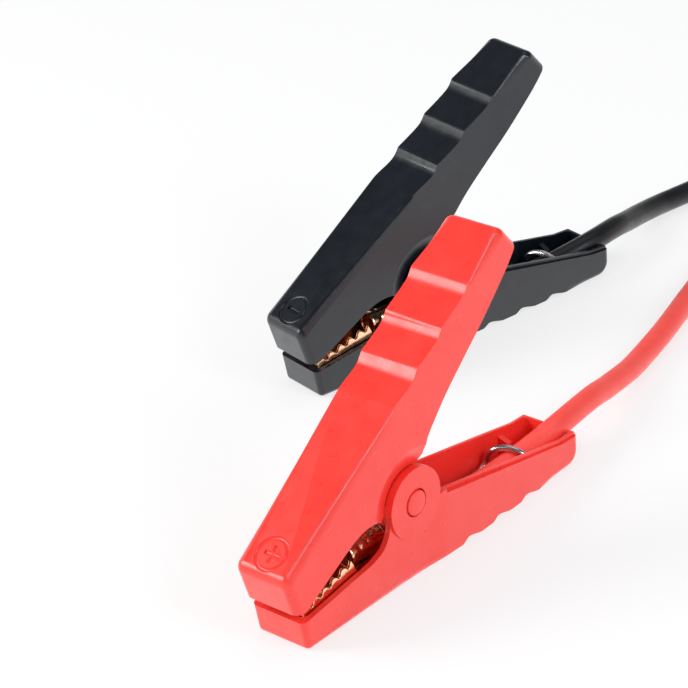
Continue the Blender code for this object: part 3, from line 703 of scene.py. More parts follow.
@dataclass
class BatteryClamp:
    """One sprung clamp: two moulded halves, copper jaws, crimp, pin, caps and torsion spring."""

    pole: Pole
    at: tuple[float, float]
    turn: float
    plastic: Finish
    length: float = 105.0
    pivot: tuple[float, float] = (41.0, 20.3)
    front: tuple[float, float] = (-4.5, 21.2)
    rise: float = 33.5
    top_length: float = 100.7
    wall: float = 1.5
    floor: float = 2.0
    roof: float = 2.5
    foot_edge: float = 1.6
    top_edge: float = 2.2
    ear_radius: float = 9.1
    ear_half: float = 9.0
    ear_gap: float = 0.4
    recess_radius: float = 14.2
    recess_floor: float = 6.95
    hub_inner: float = 4.85
    hub_outer: float = 6.35
    cap_radius: float = 3.2
    cap_groove: float = 0.42
    cap_proud: float = 0.3
    cap_thick: float = 1.2
    crests: tuple[tuple[float, float], ...] = ((59.7, 0.1), (71.5, 0.3), (84.0, 0.5))
    grip: tuple[float, float] = (48.5, 98.0)
    grip_depth: float = 1.05
    grip_drop: float = 3.6
    scallops: tuple[float, ...] = (59.7, 71.6, 83.0)
    scallop_depth: float = 1.1
    rib_x: float = 93.0
    barrel_x: float = 24.0
    barrel_length: float = 12.0
    barrel_z: float = 11.0
    barrel_radius: float = 3.2
    notch: tuple[float, float] = (-2.1, 8.1)
    lead_radius: float = 3.1
    tooth_pitch: float = 3.35
    wire: float = 0.85
    coil: float = 3.3
    coil_angles: tuple[float, float] = (157.6, 630.0)
    coil_side: float = 1.2
    coil_width: float = 2.5
    nose_half: float = 8.15
    taper: float = 0.6
    nose_extra: float = 0.4
    nose_radius: float = 1.4
    tail_radius: float = 4.0
    tail_bend: float = 6.5
    swell_front: float = 42.0
    swell_run: float = 12.0
    swell_fade: float = 50.0
    rim: tuple[float, float] = (53.7, 17.0)
    rim_slope: float = 0.2
    lip_height: float = 0.9
    lip_inset: float = 0.7
    rib_reach: tuple[float, float] = (2.0, 3.2)
    scallop_reach: tuple[float, float] = (2.6, 5.4)
    scallop_fade: float = 5.0
    notch_front: float = 98.6
    notch_room: float = 0.6
    pin_bore: float = 1.55
    sheet: float = 0.85
    barrel_wall: float = 0.7
    bundle_radius: float = 0.44
    top_half: float = 8.33
    top_taper: float = 0.24
    top_span: float = 83.0
    top_extra: float = 0.35
    top_radii: tuple[float, float] = (2.8, 2.4)
    front_wall: float = 2.3
    hub_radius: float = 8.0
    mark_at: float = 5.7
    mark_radius: float = 4.1
    mark_line: float = 0.6
    place: Matrix = field(init=False)

    def __post_init__(self) -> None:
        """Works out where the clamp stands."""
        shift = Matrix.Translation((self.at[0], self.at[1], 0))
        self.place = shift @ Matrix.Rotation(math.radians(self.turn), 4, "Z")

    def name(self, piece: str) -> str:
        """The piece's name with the clamp's pole before it."""
        return f"{self.pole.value}_{piece}"

    @property
    def upper_body(self) -> str:
        """The CAD body of the upper half."""
        return f"{self.pole.value}_upper"

    def along_top(self, distance: float, below: float = 0.0) -> tuple[float, float]:
        """A point by its place on the upper shell's top.

        Args:
            distance: Distance along the top from its front corner.
            below: Distance under the top.

        Returns:
            The point's x and z in the clamp's frame.
        """
        rise = math.radians(self.rise)
        return (
            self.front[0] + distance * math.cos(rise) + below * math.sin(rise),
            self.front[1] + distance * math.sin(rise) - below * math.cos(rise),
        )

    def inner_half(self, x: float) -> float:
        """Half the room inside the lower shell."""
        return self.nose_half + self.taper * x / self.length - self.wall

    def lower_half(self, x: float) -> float:
        """Half the lower shell's width: a slow taper, swollen behind the hinge out to the ears' faces.

        Args:
            x: Distance from the nose.

        Returns:
            The half width there.
        """
        plain = self.inner_half(x) + self.wall
        swell = smooth_step((x - self.swell_front) / self.swell_run)
        swell *= smooth_step((self.length - x) / (self.length - self.swell_fade))
        return plain + (self.ear_half - plain) * swell

    def upper_half(self, x: float) -> float:
        """Half the upper shell's width."""
        return self.top_half + self.top_taper * (x - self.front[0]) / self.top_span

    def rear_rim(self, x: float) -> float:
        """Height of the lower handle's outer rim behind the ear."""
        return self.rim[1] - self.rim_slope * (x - self.rim[0])

    # Lower half

    def lower_side(self, lip: float) -> Outline:
        """Side view of what stands of the lower shell, its rear rim raised by the lip.

        Args:
            lip: How far the rear rim is raised.

        Returns:
            The outline, wider than the shell where it cuts nothing.
        """
        tail = self.length - self.tail_bend
        window = [Vector(p) for p in ((2.5, 8.4), (14.0, 9.9), (23.5, 11.1), (26.5, 11.8), (29.2, 13.0),
                                      (31.0, 15.2), (31.8, 17.2), (32.2, 18.9))]
        return [
            (-10.0, -5.0),
            (self.length + 10.0, -5.0),
            (self.length + 10.0, self.rear_rim(tail) - 1.0 + lip),
            (tail, self.rear_rim(tail) + lip),
            (51.1, self.rear_rim(51.1) + lip),
            *arc(self.pivot, self.ear_radius, -14.0, 186.0, 72),
            *[tuple(p) for p in smooth_line(window, 1.0)[::-1][1:]],
            (-10.0, 6.7),
        ]

    def rim_step(self) -> bpy.types.Object:
        """What the rim loses outside its inner lip, behind the ear and round the tail.

        Returns:
            The solid to cut away.
        """
        tail = self.length - self.tail_bend
        above = [(52.5, self.rear_rim(52.5)), (tail, self.rear_rim(tail)),
                 (self.length + 8.0, self.rear_rim(tail) - 0.9), (self.length + 8.0, 40.0), (52.5, 40.0)]
        core = rectangle(40.0, -1.0, self.length - self.lip_inset, 41.0)
        stations = [50.0 + 2.5 * i for i in range(1, 21)]
        inner = prism("lip core", core, narrower(self.lower_half, self.lip_inset), stations=stations)
        return cut(prism("rim step", above, constant(20.0)), inner)

    def shape_foot(self, co: Vector) -> Vector:
        """Lifts a point near the underside by the finger scallop there.

        Args:
            co: The point.

        Returns:
            The point, lifted.
        """
        lift = 0.0
        for deepest in self.scallops:
            reach = self.scallop_reach[0] if co.x < deepest else self.scallop_reach[1]
            lift = max(lift, smooth_step(1 - abs(co.x - deepest) / reach))
        return co + Vector((0, 0, self.scallop_depth * lift * max(0.0, 1 - co.z / self.scallop_fade)))

    def lower_shell(self) -> bpy.types.Object:
        """Moulds the lower shell: scalloped foot, windows, ears, lipped handle and lead notch.

        Returns:
            The finished piece.
        """
        first, last = self.scallops[0] - self.scallop_reach[0], self.scallops[-1] + self.scallop_reach[1]
        foot = [(first + (last - first) * i / 60, 0.0) for i in range(61)]
        corners = [(1.2, 0.0), *foot, (self.length, 0.0), (self.length, 40.0), (-4.9, 40.0)]
        outer = rounded(corners, {0: self.nose_radius, len(foot) + 1: self.tail_radius}, 8)
        stations = [34.0 + 1.5 * i for i in range(1, 47)]
        shell = prism(self.name("lower_shell_moulding"), outer, self.lower_half, self.foot_edge, 6, stations,
                      self.shape_foot)
        combine(shell, plate("side view", self.lower_side(self.lip_height), -20.0, 20.0), "INTERSECT")
        cut(shell, self.rim_step())
        room = rectangle(self.wall + self.nose_extra, self.floor, self.length - self.wall, 45.0)
        inside = rounded(room, {1: 2.5})
        cut(shell, prism("inside", inside, self.inner_half, 1.5, 4))
        for side in (-1, 1):
            self.dress_ear(shell, side)
        cut(shell, rod("pin hole", self.pin_bore, -15.0, 15.0, *self.pivot, sides=48))
        y, z = self.notch
        reach = self.lead_radius + self.notch_room
        slot = rod_along_x("notch", reach, self.notch_front, 120.0, y, z)
        top = plate("notch top", rectangle(self.notch_front, z, 120.0, 30.0), y - reach, y + reach)
        cut(shell, join(slot, top))
        ease_edges(shell, 0.3)
        return finish(shell, self.plastic, self.place, "lower_halves", self.name("lower_shell"))

    def dress_ear(self, shell: bpy.types.Object, side: int) -> None:
        """Adds one ear's outer disc, its seat for the cap and the short rib near the tail.

        Args:
            shell: The lower shell.
            side: -1 near or 1 far.
        """
        low, high = sorted((side * (self.inner_half(self.pivot[0]) + 0.2), side * self.ear_half))
        join(shell, rod("ear", self.ear_radius, low, high, *self.pivot, sides=144))
        seat = self.ear_half + self.cap_proud - self.cap_thick - FIT
        low, high = sorted((side * seat, side * 20.0))
        cut(shell, rod("cap seat", self.cap_radius + self.cap_groove, low, high, *self.pivot))
        x, reach = self.rib_x, self.rib_reach[0 if side < 0 else 1]
        top = self.rear_rim(x)
        rib_side = [(-reach, 1.5), (0.6, 1.5), (0.6, top - 0.6), (0.0, top - 0.9), (-reach, top - 2.2)]
        rib = prism("rib", rib_side, constant(0.8))
        turn = Matrix.Rotation(math.radians(90 * side), 4, "Z")
        rib.data.transform(Matrix.Translation((x, side * self.inner_half(x), 0)) @ turn)
        join(shell, rib)

    def teeth(self, start: tuple[float, float], slope: float, count: int, depth: float) -> Outline:
        """A pressed wavy edge, from the tail to the nose: each tooth drops steeply and rises slowly.

        Args:
            start: Where the row starts, at the nose.
            slope: How steeply the row climbs.
            count: Number of teeth.
            depth: How deep each one drops.

        Returns:
            The edge's points.
        """
        points: Outline = []
        pitch = self.tooth_pitch
        for i in range(count):
            x, z = start[0] + i * pitch, start[1] + i * pitch * slope
            for share, drop in ((0.0, 0.0), (0.14, 0.04), (0.3, 0.2), (0.45, 0.55), (0.58, 0.88), (0.7, 1.0),
                                (0.8, 0.9), (0.88, 0.55), (0.94, 0.2)):
                points.append((x + share * pitch, z + share * pitch * slope - depth * drop))
        end = start[0] + count * pitch
        return [*points, (end, start[1] + count * pitch * slope)][::-1]

    def lower_jaw(self) -> bpy.types.Object:
        """Presses the lower jaw: a trough with toothed sides and the saddle under the crimp.

        Returns:
            The finished piece.
        """
        outer = self.nose_half - self.wall - FIT
        front, back = self.wall + self.nose_extra + FIT, self.pivot[0] - 7.0
        base = self.floor + FIT
        row = self.teeth(start=(2.95, 10.4), slope=0.24, count=5, depth=1.5)
        outline = [(front, base), (back, base), (back, 5.6), (self.barrel_x - 1.5, 8.6),
                   (self.barrel_x - 3.4, 12.6), *row, (front, 9.8)]
        jaw = prism(self.name("lower_jaw_pressing"), rounded(outline, {2: 1.0, 3: 2.0}, 5), constant(outer))
        inside = rectangle(front + self.sheet, base + self.sheet, back + 5.0, 40.0)
        cut(jaw, prism("inside", inside, constant(outer - self.sheet)))
        top = self.barrel_z - self.barrel_radius - FIT
        saddle = rectangle(self.barrel_x + 1.0, base + 0.3, back - 0.6, top)
        join(jaw, plate("saddle", saddle, -1.8, 1.8))
        ease_edges(jaw, 0.16, 50.0)
        return finish(jaw, COPPER, self.place, "lower_halves", self.name("lower_jaw"), sharp=50.0)

    def crimp_barrel(self) -> bpy.types.Object:
        """Rolls the crimp sleeve, with its mouth flared a little and three shallow crimp bands.

        Returns:
            The finished piece.
        """
        radius, wall = self.barrel_radius, self.barrel_wall
        start, end = self.barrel_x, self.barrel_x + self.barrel_length
        outer = [(radius - 0.12, start), (radius, start + 0.15), (radius, start + 0.8),
                 (radius - 0.08, start + 1.4)]
        for k in range(3):
            x = start + 3.2 + 2.9 * k
            outer += [(radius - 0.08, x - 0.7), (radius - 0.24, x - 0.3), (radius - 0.24, x + 0.3),
                      (radius - 0.08, x + 0.7)]
        outer += [(radius - 0.05, end - 0.3), (radius - 0.2, end)]
        inner = [(radius - wall - 0.02, end), (radius - wall, end - 1.0), (radius - wall, start + 1.0),
                 (radius - wall + 0.18, start + 0.2), (radius - 0.4, start)]
        sleeve = turned(self.name("crimp_sleeve"), outer + inner, (0, 0, self.barrel_z), "X", 64)
        return finish(sleeve, COPPER, self.place, "lower_halves", self.name("crimp_barrel"))

    def strands(self) -> bpy.types.Object:
        """Lays nineteen bundles of fine strands in the crimp barrel, their cut ends a little uneven.

        Returns:
            The finished piece.
        """
        reach, thick = self.barrel_radius - self.barrel_wall - FIT, self.bundle_radius
        start, end = self.barrel_x + 0.5, self.barrel_x + self.barrel_length + 1.0
        mesh = bmesh.new()
        for ring, count in ((0, 1), (1, 6), (2, 12)):
            for k in range(count):
                angle = math.tau * k / count + 0.3 * ring
                away = ring * (reach - thick) / 2
                uneven = 0.45 * math.sin(7.0 * k + 3.0 * ring)
                lay = Matrix.Translation(((start + end + uneven) / 2, away * math.cos(angle),
                                          self.barrel_z + away * math.sin(angle)))
                bmesh.ops.create_cone(mesh, cap_ends=True, segments=14, radius1=thick, radius2=thick,
                                      depth=end - start - uneven,
                                      matrix=lay @ Matrix.Rotation(math.radians(90), 4, "Y"))
        made = to_object(self.name("conductor_strands"), mesh)
        return finish(made, STRANDS, self.place, "lower_halves", self.name("conductor"))

    def pin_cap(self, side: int, word: str) -> bpy.types.Object:
        """Turns one cap: a disc with a rounded rim, a little proud of the ear.

        Args:
            side: -1 near or 1 far.
            word: The same side in words.

        Returns:
            The finished piece.
        """
        top = self.ear_half + self.cap_proud
        base, r = top - self.cap_thick, self.cap_radius
        rim = [(r - 0.3 + 0.3 * math.sin(math.radians(a)), top - 0.3 + 0.3 * math.cos(math.radians(a)))
               for a in range(90, -1, -15)]
        profile = [(0, side * base), (r, side * base)] + [(a, side * b) for a, b in rim]
        profile += [(r * 0.5, side * (top + 0.06)), (0, side * (top + 0.08))]
        cap = turned(self.name(f"turned_cap_{word}"), profile, (self.pivot[0], 0, self.pivot[1]), "Y", 72)
        return finish(cap, self.plastic, self.place, "lower_halves", self.name(f"pin_cap_{word}"))

    # Upper half

    def grip_height(self, distance: float) -> float:
        """Height of the top over its straight line: teeth that rise to a crest and drop in front of it.

        Args:
            distance: Distance along the top from its front corner.

        Returns:
            The height there.
        """
        back, back_height = self.grip[1], 0.0
        for crest, height in reversed(self.crests):
            if distance >= crest:
                share = max(0.0, (back - distance) / (back - crest))
                return back_height + (height - back_height) * share**1.4
            back, back_height = crest - self.grip_drop, height - self.grip_depth
            if distance > back:
                return height - self.grip_depth * math.sin(math.pi / 2 * (crest - distance) / self.grip_drop)
        return back_height * smooth_step((distance - self.grip[0]) / (back - self.grip[0]))

    def shape_grip(self, co: Vector) -> Vector:
        """Moves a point near the top by the grip's height there.

        Args:
            co: The point.

        Returns:
            The point, moved square to the top.
        """
        rise = math.radians(self.rise)
        dx, dz = co.x - self.front[0], co.z - self.front[1]
        distance = dx * math.cos(rise) + dz * math.sin(rise)
        below = dx * math.sin(rise) - dz * math.cos(rise)
        if below > self.top_edge + 0.5:
            return co
        height = self.grip_height(distance) * (1 - 0.5 * max(0.0, min(1.0, below / self.top_edge)))
        return co - Vector((math.sin(rise), 0, -math.cos(rise))) * height

    def upper_side(self) -> Outline:
        """Side view of what stands of the upper shell.

        Returns:
            The outline, wider than the shell where it cuts nothing.
        """
        front = [Vector(p) for p in ((1.8, 11.4), (9.0, 15.25), (16.4, 19.1), (20.2, 20.8), (23.0, 21.5),
                                     (26.0, 21.6), (28.2, 21.0), (29.8, 19.9))]
        rear = [Vector(p) for p in ((45.9, 30.9), (46.4, 33.0), (47.6, 35.3), (49.9, 37.9), (54.9, 43.1),
                                    (62.0, 49.3), (70.0, 56.1), (79.4, 65.1), (84.3, 70.9))]
        return [
            (-12.0, 11.5), (0.5, 11.1),
            *[tuple(p) for p in smooth_line(front, 1.2)],
            *arc(self.pivot, self.ear_radius + self.ear_gap, 176.0, 71.0, 36),
            *[tuple(p) for p in smooth_line(rear, 1.5)],
            (98.0, 87.0), (79.4, 100.0), (-30.0, 30.0),
        ]

    def hub_plate(self) -> Outline:
        """Side view of the thickened wall that carries each hub."""
        upper_rim = arc(self.pivot, self.recess_radius - 0.6, 76.0, 162.0, 24)
        return arc(self.pivot, self.hub_radius, 166.0, 432.0, 60) + upper_rim

    def polarity_mark(self) -> list[bpy.types.Object]:
        """The tools that sink a ring and a plus or a minus into the top.

        Returns:
            The solids to cut away.
        """
        x, z = self.along_top(self.mark_at)
        lay = Matrix.Translation((x, 0, z)) @ Matrix.Rotation(math.radians(-self.rise), 4, "Y")
        lay = lay @ Matrix.Rotation(math.radians(90), 4, "X")
        radius, line, sink = self.mark_radius, self.mark_line, 0.1
        groove = arc((radius, sink), line, 180.0, 360.0, 10)
        ring = turned("mark", [*groove, (radius + line, 3.0), (radius - line, 3.0)], (0, 0, 0), "Y", 72)
        reach = 0.56 * radius
        tools = [ring, rod_along_x("stroke", line, -reach, reach, sink, 0.0, 24)]
        if self.pole is Pole.POSITIVE:
            tools.append(rod_along_x("stroke", line, -reach, reach, sink, 0.0, 24))
        tools[1].data.transform(Matrix.Rotation(math.radians(90), 4, "Y"))
        for tool in tools:
            tool.data.transform(lay)
        return tools

    def upper_shell(self) -> bpy.types.Object:
        """Moulds the upper shell: hood, handle with grip, ear recesses, hubs and polarity mark.

        Returns:
            The finished piece.
        """
        end = self.along_top(self.top_length)
        corners = [self.front, (0.0, 5.0), (60.0, -20.0), (end[0] + 7.5, end[1] - 9.4), end]
        last = self.crests[-1][0] + 0.01
        count = round((last - self.grip[0]) / 0.45)
        top = [self.along_top(last + (self.grip[0] - last) * i / count) for i in range(count + 1)]
        outer = rounded(corners, {0: self.top_radii[0], 4: self.top_radii[1]}, 8) + top
        name = self.name("upper_shell_moulding")
        shell = prism(name, outer, self.upper_half, self.top_edge, shape=self.shape_grip)
        combine(shell, plate("side view", self.upper_side(), -20.0, 20.0), "INTERSECT")
        front = self.along_top(self.front_wall, self.roof)
        back = self.along_top(self.top_length - 2.2, self.roof)
        inside = [front, (front[0] + 5.0, -10.0), (130.0, -10.0), (back[0] + 30.0, back[1] - 37.0), back]
        cut(shell, prism("inside", inside, narrower(self.upper_half, self.wall + self.top_extra), 0.8, 3))
        for side in (-1, 1):
            self.dress_hub(shell, side)
        cut(shell, rod("pin bore", self.pin_bore, -15.0, 15.0, *self.pivot, sides=48))
        cut(shell, *self.polarity_mark())
        ease_edges(shell, 0.2)
        finish(shell, self.plastic, self.place, self.upper_body, self.name("upper_shell"))
        home = self.place.inverted()
        for edge in shell.data.edges:
            ends = [home @ (shell.data.vertices[i].co / MM) for i in edge.vertices]
            away = [math.hypot(p.x - self.pivot[0], p.z - self.pivot[1]) for p in ends]
            if abs(away[0] - self.recess_radius) < 0.4 and abs(away[0] - away[1]) < 0.08:
                edge.use_edge_sharp = True
        return shell

    def dress_hub(self, shell: bpy.types.Object, side: int) -> None:
        """Adds one hub plate and sinks the well and the conical recess round the ear.

        Args:
            shell: The upper shell.
            side: -1 near or 1 far.
        """
        low, high = sorted((side * self.hub_inner, side * (self.hub_outer + 0.6)))
        join(shell, plate("hub", self.hub_plate(), low, high))
        well = self.ear_radius + self.ear_gap
        low, high = sorted((side * self.hub_outer, side * 20.0))
        cut(shell, rod("well", well, low, high, *self.pivot, sides=144))
        surface = self.upper_half(self.pivot[0])
        slope = (self.recess_radius - well) / (surface - self.recess_floor)
        far = surface + 1.0
        reach = self.recess_radius + slope * 1.0
        if side > 0:
            cone = rod("cone", well - 0.02, self.recess_floor, far, *self.pivot, end=reach, sides=144)
        else:
            cone = rod("cone", reach, -far, -self.recess_floor, *self.pivot, end=well - 0.02, sides=144)
        cut(shell, cone)

    def upper_jaw(self) -> bpy.types.Object:
        """Presses the upper jaw: a hood whose scalloped edge shows just under the upper shell's.

        Returns:
            The finished piece.
        """
        outer = self.top_half - self.wall - self.top_extra - FIT
        front = self.along_top(self.front_wall, self.roof)
        slope = math.tan(math.radians(self.rise))
        start = (front[0] + 0.9, front[1] - FIT / math.cos(math.radians(self.rise)))
        end_x, pitch, step, count = 23.5, self.tooth_pitch, 0.527, 4
        edge: Outline = []
        for i in range(count):
            x, z = 4.4 + i * pitch, 12.3 + i * pitch * step
            edge += [(x, z - 0.7), (x + 0.2 * pitch, z - 0.55), (x + 0.45 * pitch, z + 0.05),
                     (x + 0.7 * pitch, z + 0.9), (x + 0.88 * pitch, z + 0.95)]
        edge.append((4.4 + count * pitch, 12.3 + count * pitch * step - 0.5))
        outline = [start, (2.3, 10.35), (3.2, 10.6), *edge, (21.2, 21.2),
                   (end_x, start[1] + (end_x - start[0]) * slope)]
        jaw = prism(self.name("upper_jaw_pressing"), outline, constant(outer))
        drop = self.sheet * 0.6
        inside = [(start[0] + 1.3, start[1] - drop), (2.3 + self.sheet, -10.0), (40.0, -10.0),
                  (40.0, start[1] - drop + (40.0 - start[0] - 1.3) * slope)]
        cut(jaw, prism("inside", inside, constant(outer - self.sheet)))
        ease_edges(jaw, 0.16, 50.0)
        return finish(jaw, COPPER, self.place, self.upper_body, self.name("upper_jaw"), sharp=50.0)

    def spring_path(self) -> list[Vector]:
        """Centre line of the double torsion spring: arm, coil, leg, bail over the lead, and back.

        Returns:
            Its points, from the near arm's tip to the far one's.
        """
        start, end = self.coil_angles
        turns = round((end - start) / 9.0)
        lean = Vector((math.cos(math.radians(start - 90.0)), math.sin(math.radians(start - 90.0))))
        root = Vector(arc(self.pivot, self.coil, start, start, 1)[0])
        rise = math.tan(math.radians(self.rise))
        drop = (self.roof + 2 * FIT + self.wire) / math.cos(math.radians(self.rise))
        reach = (self.front[1] - drop + (root.x - self.front[0]) * rise - root.y) / (lean.y - lean.x * rise)
        tip = root + lean * reach
        arm = [Vector((tip.x + 4.0, 3.6, tip.y + 4.0 * rise - 0.1)), Vector((tip.x + 0.3, 3.5, tip.y - 0.3)),
               Vector((tip.x - 0.5 * lean.x, 3.4, tip.y - 1.6))]
        arm += [Vector((root.x + lean.x * reach * s, self.coil_side + 2.1 * s, root.y + lean.y * reach * s))
                for s in (0.8, 0.5, 0.2, 0.08)]
        coils = []
        for i in range(turns + 1):
            x, z = arc(self.pivot, self.coil, start + (end - start) * i / turns, 0.0, 1)[0]
            coils.append(Vector((x, self.coil_side + self.coil_width * i / turns, z)))
        leg = [Vector(p) for p in ((46.0, 3.75, 15.9), (51.0, 3.9, 13.6), (58.0, 4.8, 9.6), (66.0, 5.3, 5.4),
                                   (70.0, 5.3, 3.9))]
        half = smooth_line(arm + coils[:1], 1.0)[:-1] + coils + smooth_line(coils[-1:] + leg, 1.0)[1:]
        near_end = [Vector(p) for p in ((84.0, -5.3, 3.6), (87.3, -5.3, 4.2), (88.6, -5.2, 6.0),
                                        (88.6, -4.6, 7.9), (87.8, -3.0, 9.2))]
        far_end = [Vector(p) for p in ((80.0, 5.3, 3.6), (83.6, 5.3, 4.2), (84.9, 5.2, 6.0), (85.1, 4.4, 7.8),
                                       (85.6, 3.0, 9.0))]
        near = [Vector((p.x, -p.y, p.z)) for p in half]
        bail = near[-1:] + near_end + [Vector((87.1, -0.8, 9.8)), Vector((86.4, 1.2, 9.6))]
        bail += far_end[::-1] + half[-1:]
        return near + smooth_line(bail, 0.8)[1:-1] + half[::-1]

    def torsion_spring(self) -> bpy.types.Object:
        """Winds the spring, with its arms, coils, legs and bail, and leaves it on no body.

        Returns:
            The finished piece.
        """
        spring = tube(self.name("wound_spring"), self.spring_path(), self.wire, 14)
        finish(spring, SPRING_WIRE, self.place, None, self.name("torsion_spring"))
        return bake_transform(spring)

    def build(self) -> None:
        """Makes every piece of the clamp that shows."""
        self.lower_shell()
        self.upper_shell()
        self.lower_jaw()
        self.upper_jaw()
        self.crimp_barrel()
        self.strands()
        self.pin_cap(-1, "near")
        self.pin_cap(1, "far")
        self.torsion_spring()
        pin = bpy.data.objects[self.name("pivot_pin")]
        pin.data.materials.clear()
        pin.data.materials.append(PIN_STEEL.material())


# The leads and their plug, in the frame of the whole object


@dataclass
class LeadSet:
    """The two leads, the tie round them and the two-pole plug at their end."""

    positive: BatteryClamp
    negative: BatteryClamp
    radius: float = 3.1
    plug: tuple[float, float, float] = (113.9, -64.7, 5.0)
    plug_length: float = 20.0
    plug_half: float = 10.0
    pole_half: float = 4.6
    cover_length: float = 7.0
    contact_radius: float = 2.5
    shroud_radius: float = 3.7
    shroud_depth: float = 12.0
    tie_x: float = 159.9
    tie_z: float = 4.7
    tie_half: float = 1.8
    tie_thick: float = 1.1
    tie_gap: float = 3.4
    plug_edge: float = 1.2

    def route(self, clamp: BatteryClamp) -> list[Vector]:
        """The lead's listed points, from the crimp over the tail and the table to the plug.

        Args:
            clamp: The clamp it is crimped to.

        Returns:
            The points, in the object's frame.
        """
        start = clamp.barrel_x + clamp.barrel_length + 1.0 + FIT
        inside = [(start, 0.0, clamp.barrel_z - 0.1), (44.0, 0.0, 10.0), (55.0, -0.1, 7.0), (66.0, -0.3, 5.8),
                  (84.0, -0.6, 5.5), (96.0, -1.5, 6.7), (clamp.length, *clamp.notch)]
        rest = self.radius + 0.1
        if clamp.pole is Pole.POSITIVE:
            side = self.pole_half
            out = [(121.6, -0.2, 7.6), (130.4, 1.3, 6.1), (138.9, 2.8, 4.9), (146.2, 4.4, 3.8),
                   (153.8, 6.3, rest), (166.1, 9.0, rest), (177.9, 12.1, rest),
                   (189.1, 15.2, rest), (209.2, 20.4, rest), (232.2, 24.6, rest),
                   (254.2, 25.8, rest), (274.2, 20.6, rest), (287.2, 5.4, rest), (284.7, -12.1, 3.3),
                   (273.2, -22.0, 3.9), (257.2, -23.6, 4.7)]
        else:
            side = -self.pole_half
            out = [(206.3, 52.9, 8.0), (213.8, 54.1, 6.5), (221.7, 55.5, 5.0), (228.6, 56.1, 4.0),
                   (234.8, 56.1, 3.3), (239.8, 55.2, rest), (244.6, 54.2, rest), (262.2, 50.6, rest),
                   (281.2, 45.6, rest), (298.2, 35.8, rest), (309.7, 19.9, rest), (312.7, 1.4, rest),
                   (305.7, -15.6, 3.3), (292.7, -25.6, 3.8), (275.2, -30.0, 4.4), (257.2, -30.4, 4.7)]
        x, y, z = self.plug
        behind = x + self.plug_length + self.cover_length
        points = [clamp.place @ Vector(p) for p in inside]
        points += [self.positive.place @ Vector(p) for p in out]
        points += [Vector((behind + 7.0, y + 0.94 * side, z)), Vector((behind - 3.0, y + side, z)),
                   Vector((x + self.shroud_depth + 3.0, y + side, z))]
        return points

    def lead(self, clamp: BatteryClamp, look: Finish, stiffness: str, pieces: Sequence[bpy.types.Object]
             ) -> bpy.types.Object:
        """Extrudes one lead's jacket along its route.

        Args:
            clamp: The clamp it is crimped to.
            look: Its jacket.
            stiffness: How the cord bends; not used.
            pieces: The separate pieces on it; not used.

        Returns:
            The lead, a curve of one open spline.
        """
        points = [p * MM for p in smooth_line(self.route(clamp), 2.0)]
        data = wire_curve(clamp.name("lead_jacket"), points, self.radius * MM, 8)
        data.splines[0].use_smooth = True
        data.materials.append(look.material())
        made = linked(clamp.name("lead_jacket"), data)
        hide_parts(clamp.name("lead"))
        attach(made, "lower_halves")
        return made

    def block(self, name: str, low: float, high: float, edge: float) -> bpy.types.Object:
        """A rounded block as wide and high as the plug, from x=low to x=high.

        Args:
            name: The object's name.
            low: Where its front is.
            high: Where its back is.
            edge: Radius of its corners.

        Returns:
            The block, in millimetres.
        """
        _, y, z = self.plug
        outline = rounded(rectangle(low, 0.0, high, 2 * z), dict.fromkeys(range(4), edge), 6)
        made = prism(name, outline, constant(self.plug_half), edge * 0.8, 5)
        made.data.transform(Matrix.Translation((0, y, 0)))
        return made

    def housing(self) -> bpy.types.Object:
        """Moulds the plug's housing: shrouds, throats, lead bores and finger ribs.

        Returns:
            The finished piece.
        """
        x, y, z = self.plug
        made = self.block("plug_housing_shell", x, x + self.plug_length, self.plug_edge)
        wall = x + self.shroud_depth
        for side in (-self.pole_half, self.pole_half):
            cut(
                made,
                rod_along_x("shroud", self.shroud_radius, x - 5.0, wall, y + side, z),
                rod_along_x("throat", self.contact_radius - 0.5, wall - 1.0, wall + 4.0, y + side, z),
                rod_along_x("lead bore", self.radius + FIT, wall + 2.7, x + 40.0, y + side, z),
            )
        for k in range(5):
            rib_x = x + 8.0 + 2.0 * k
            for side in (-1, 1):
                groove = rectangle(rib_x - 0.4, 1.6, rib_x + 0.4, 2 * z - 1.6)
                low, high = sorted((y + side * (self.plug_half - 0.4), y + side * (self.plug_half + 2.0)))
                cut(made, plate("rib groove", groove, low, high))
        ease_edges(made, 0.15)
        return finish(made, PLUG_NYLON, Matrix(), "lower_halves", "plug_housing")

    def cover(self) -> bpy.types.Object:
        """Moulds the collar behind the housing.

        Returns:
            The finished piece.
        """
        x, y, z = self.plug
        start = x + self.plug_length + FIT
        made = self.block("plug_rear_cover", start, start + self.cover_length, self.plug_edge)
        for side in (-self.pole_half, self.pole_half):
            cut(made, rod_along_x("bore", self.radius + FIT, start - 5.0, start + 20.0, y + side, z))
        ease_edges(made, 0.15)
        return finish(made, PLUG_NYLON, Matrix(), "lower_halves", "plug_cover")

    def contact(self, clamp: BatteryClamp, side: float) -> bpy.types.Object:
        """Turns one contact with its rounded, slotted nose and thin tail.

        Args:
            clamp: The clamp whose lead it ends.
            side: Its distance from the plug's middle plane.

        Returns:
            The finished piece.
        """
        x, y, z = self.plug
        wall, r = x + self.shroud_depth, self.contact_radius
        profile = [(0, x + 1.2), (r * 0.55, x + 1.2), (r * 0.85, x + 1.5), (r, x + 2.2), (r, x + 3.4),
                   (r - 0.2, x + 3.8), (r - 0.2, x + 4.6), (r, x + 5.0), (r, wall - FIT),
                   (r - 0.8, wall - FIT), (r - 0.8, wall + 2.4), (0, wall + 2.4)]
        made = turned(clamp.name("slotted_contact"), profile, (0, y + side, z), "X", 48)
        slot = rectangle(x - 3.0, 0.0, x + 8.0, 12.0)
        cut(made, plate("slot", slot, y + side - 0.35, y + side + 0.35))
        ease_edges(made, 0.08, 60.0)
        return finish(made, BRASS, Matrix(), "lower_halves", clamp.name("plug_contact"))

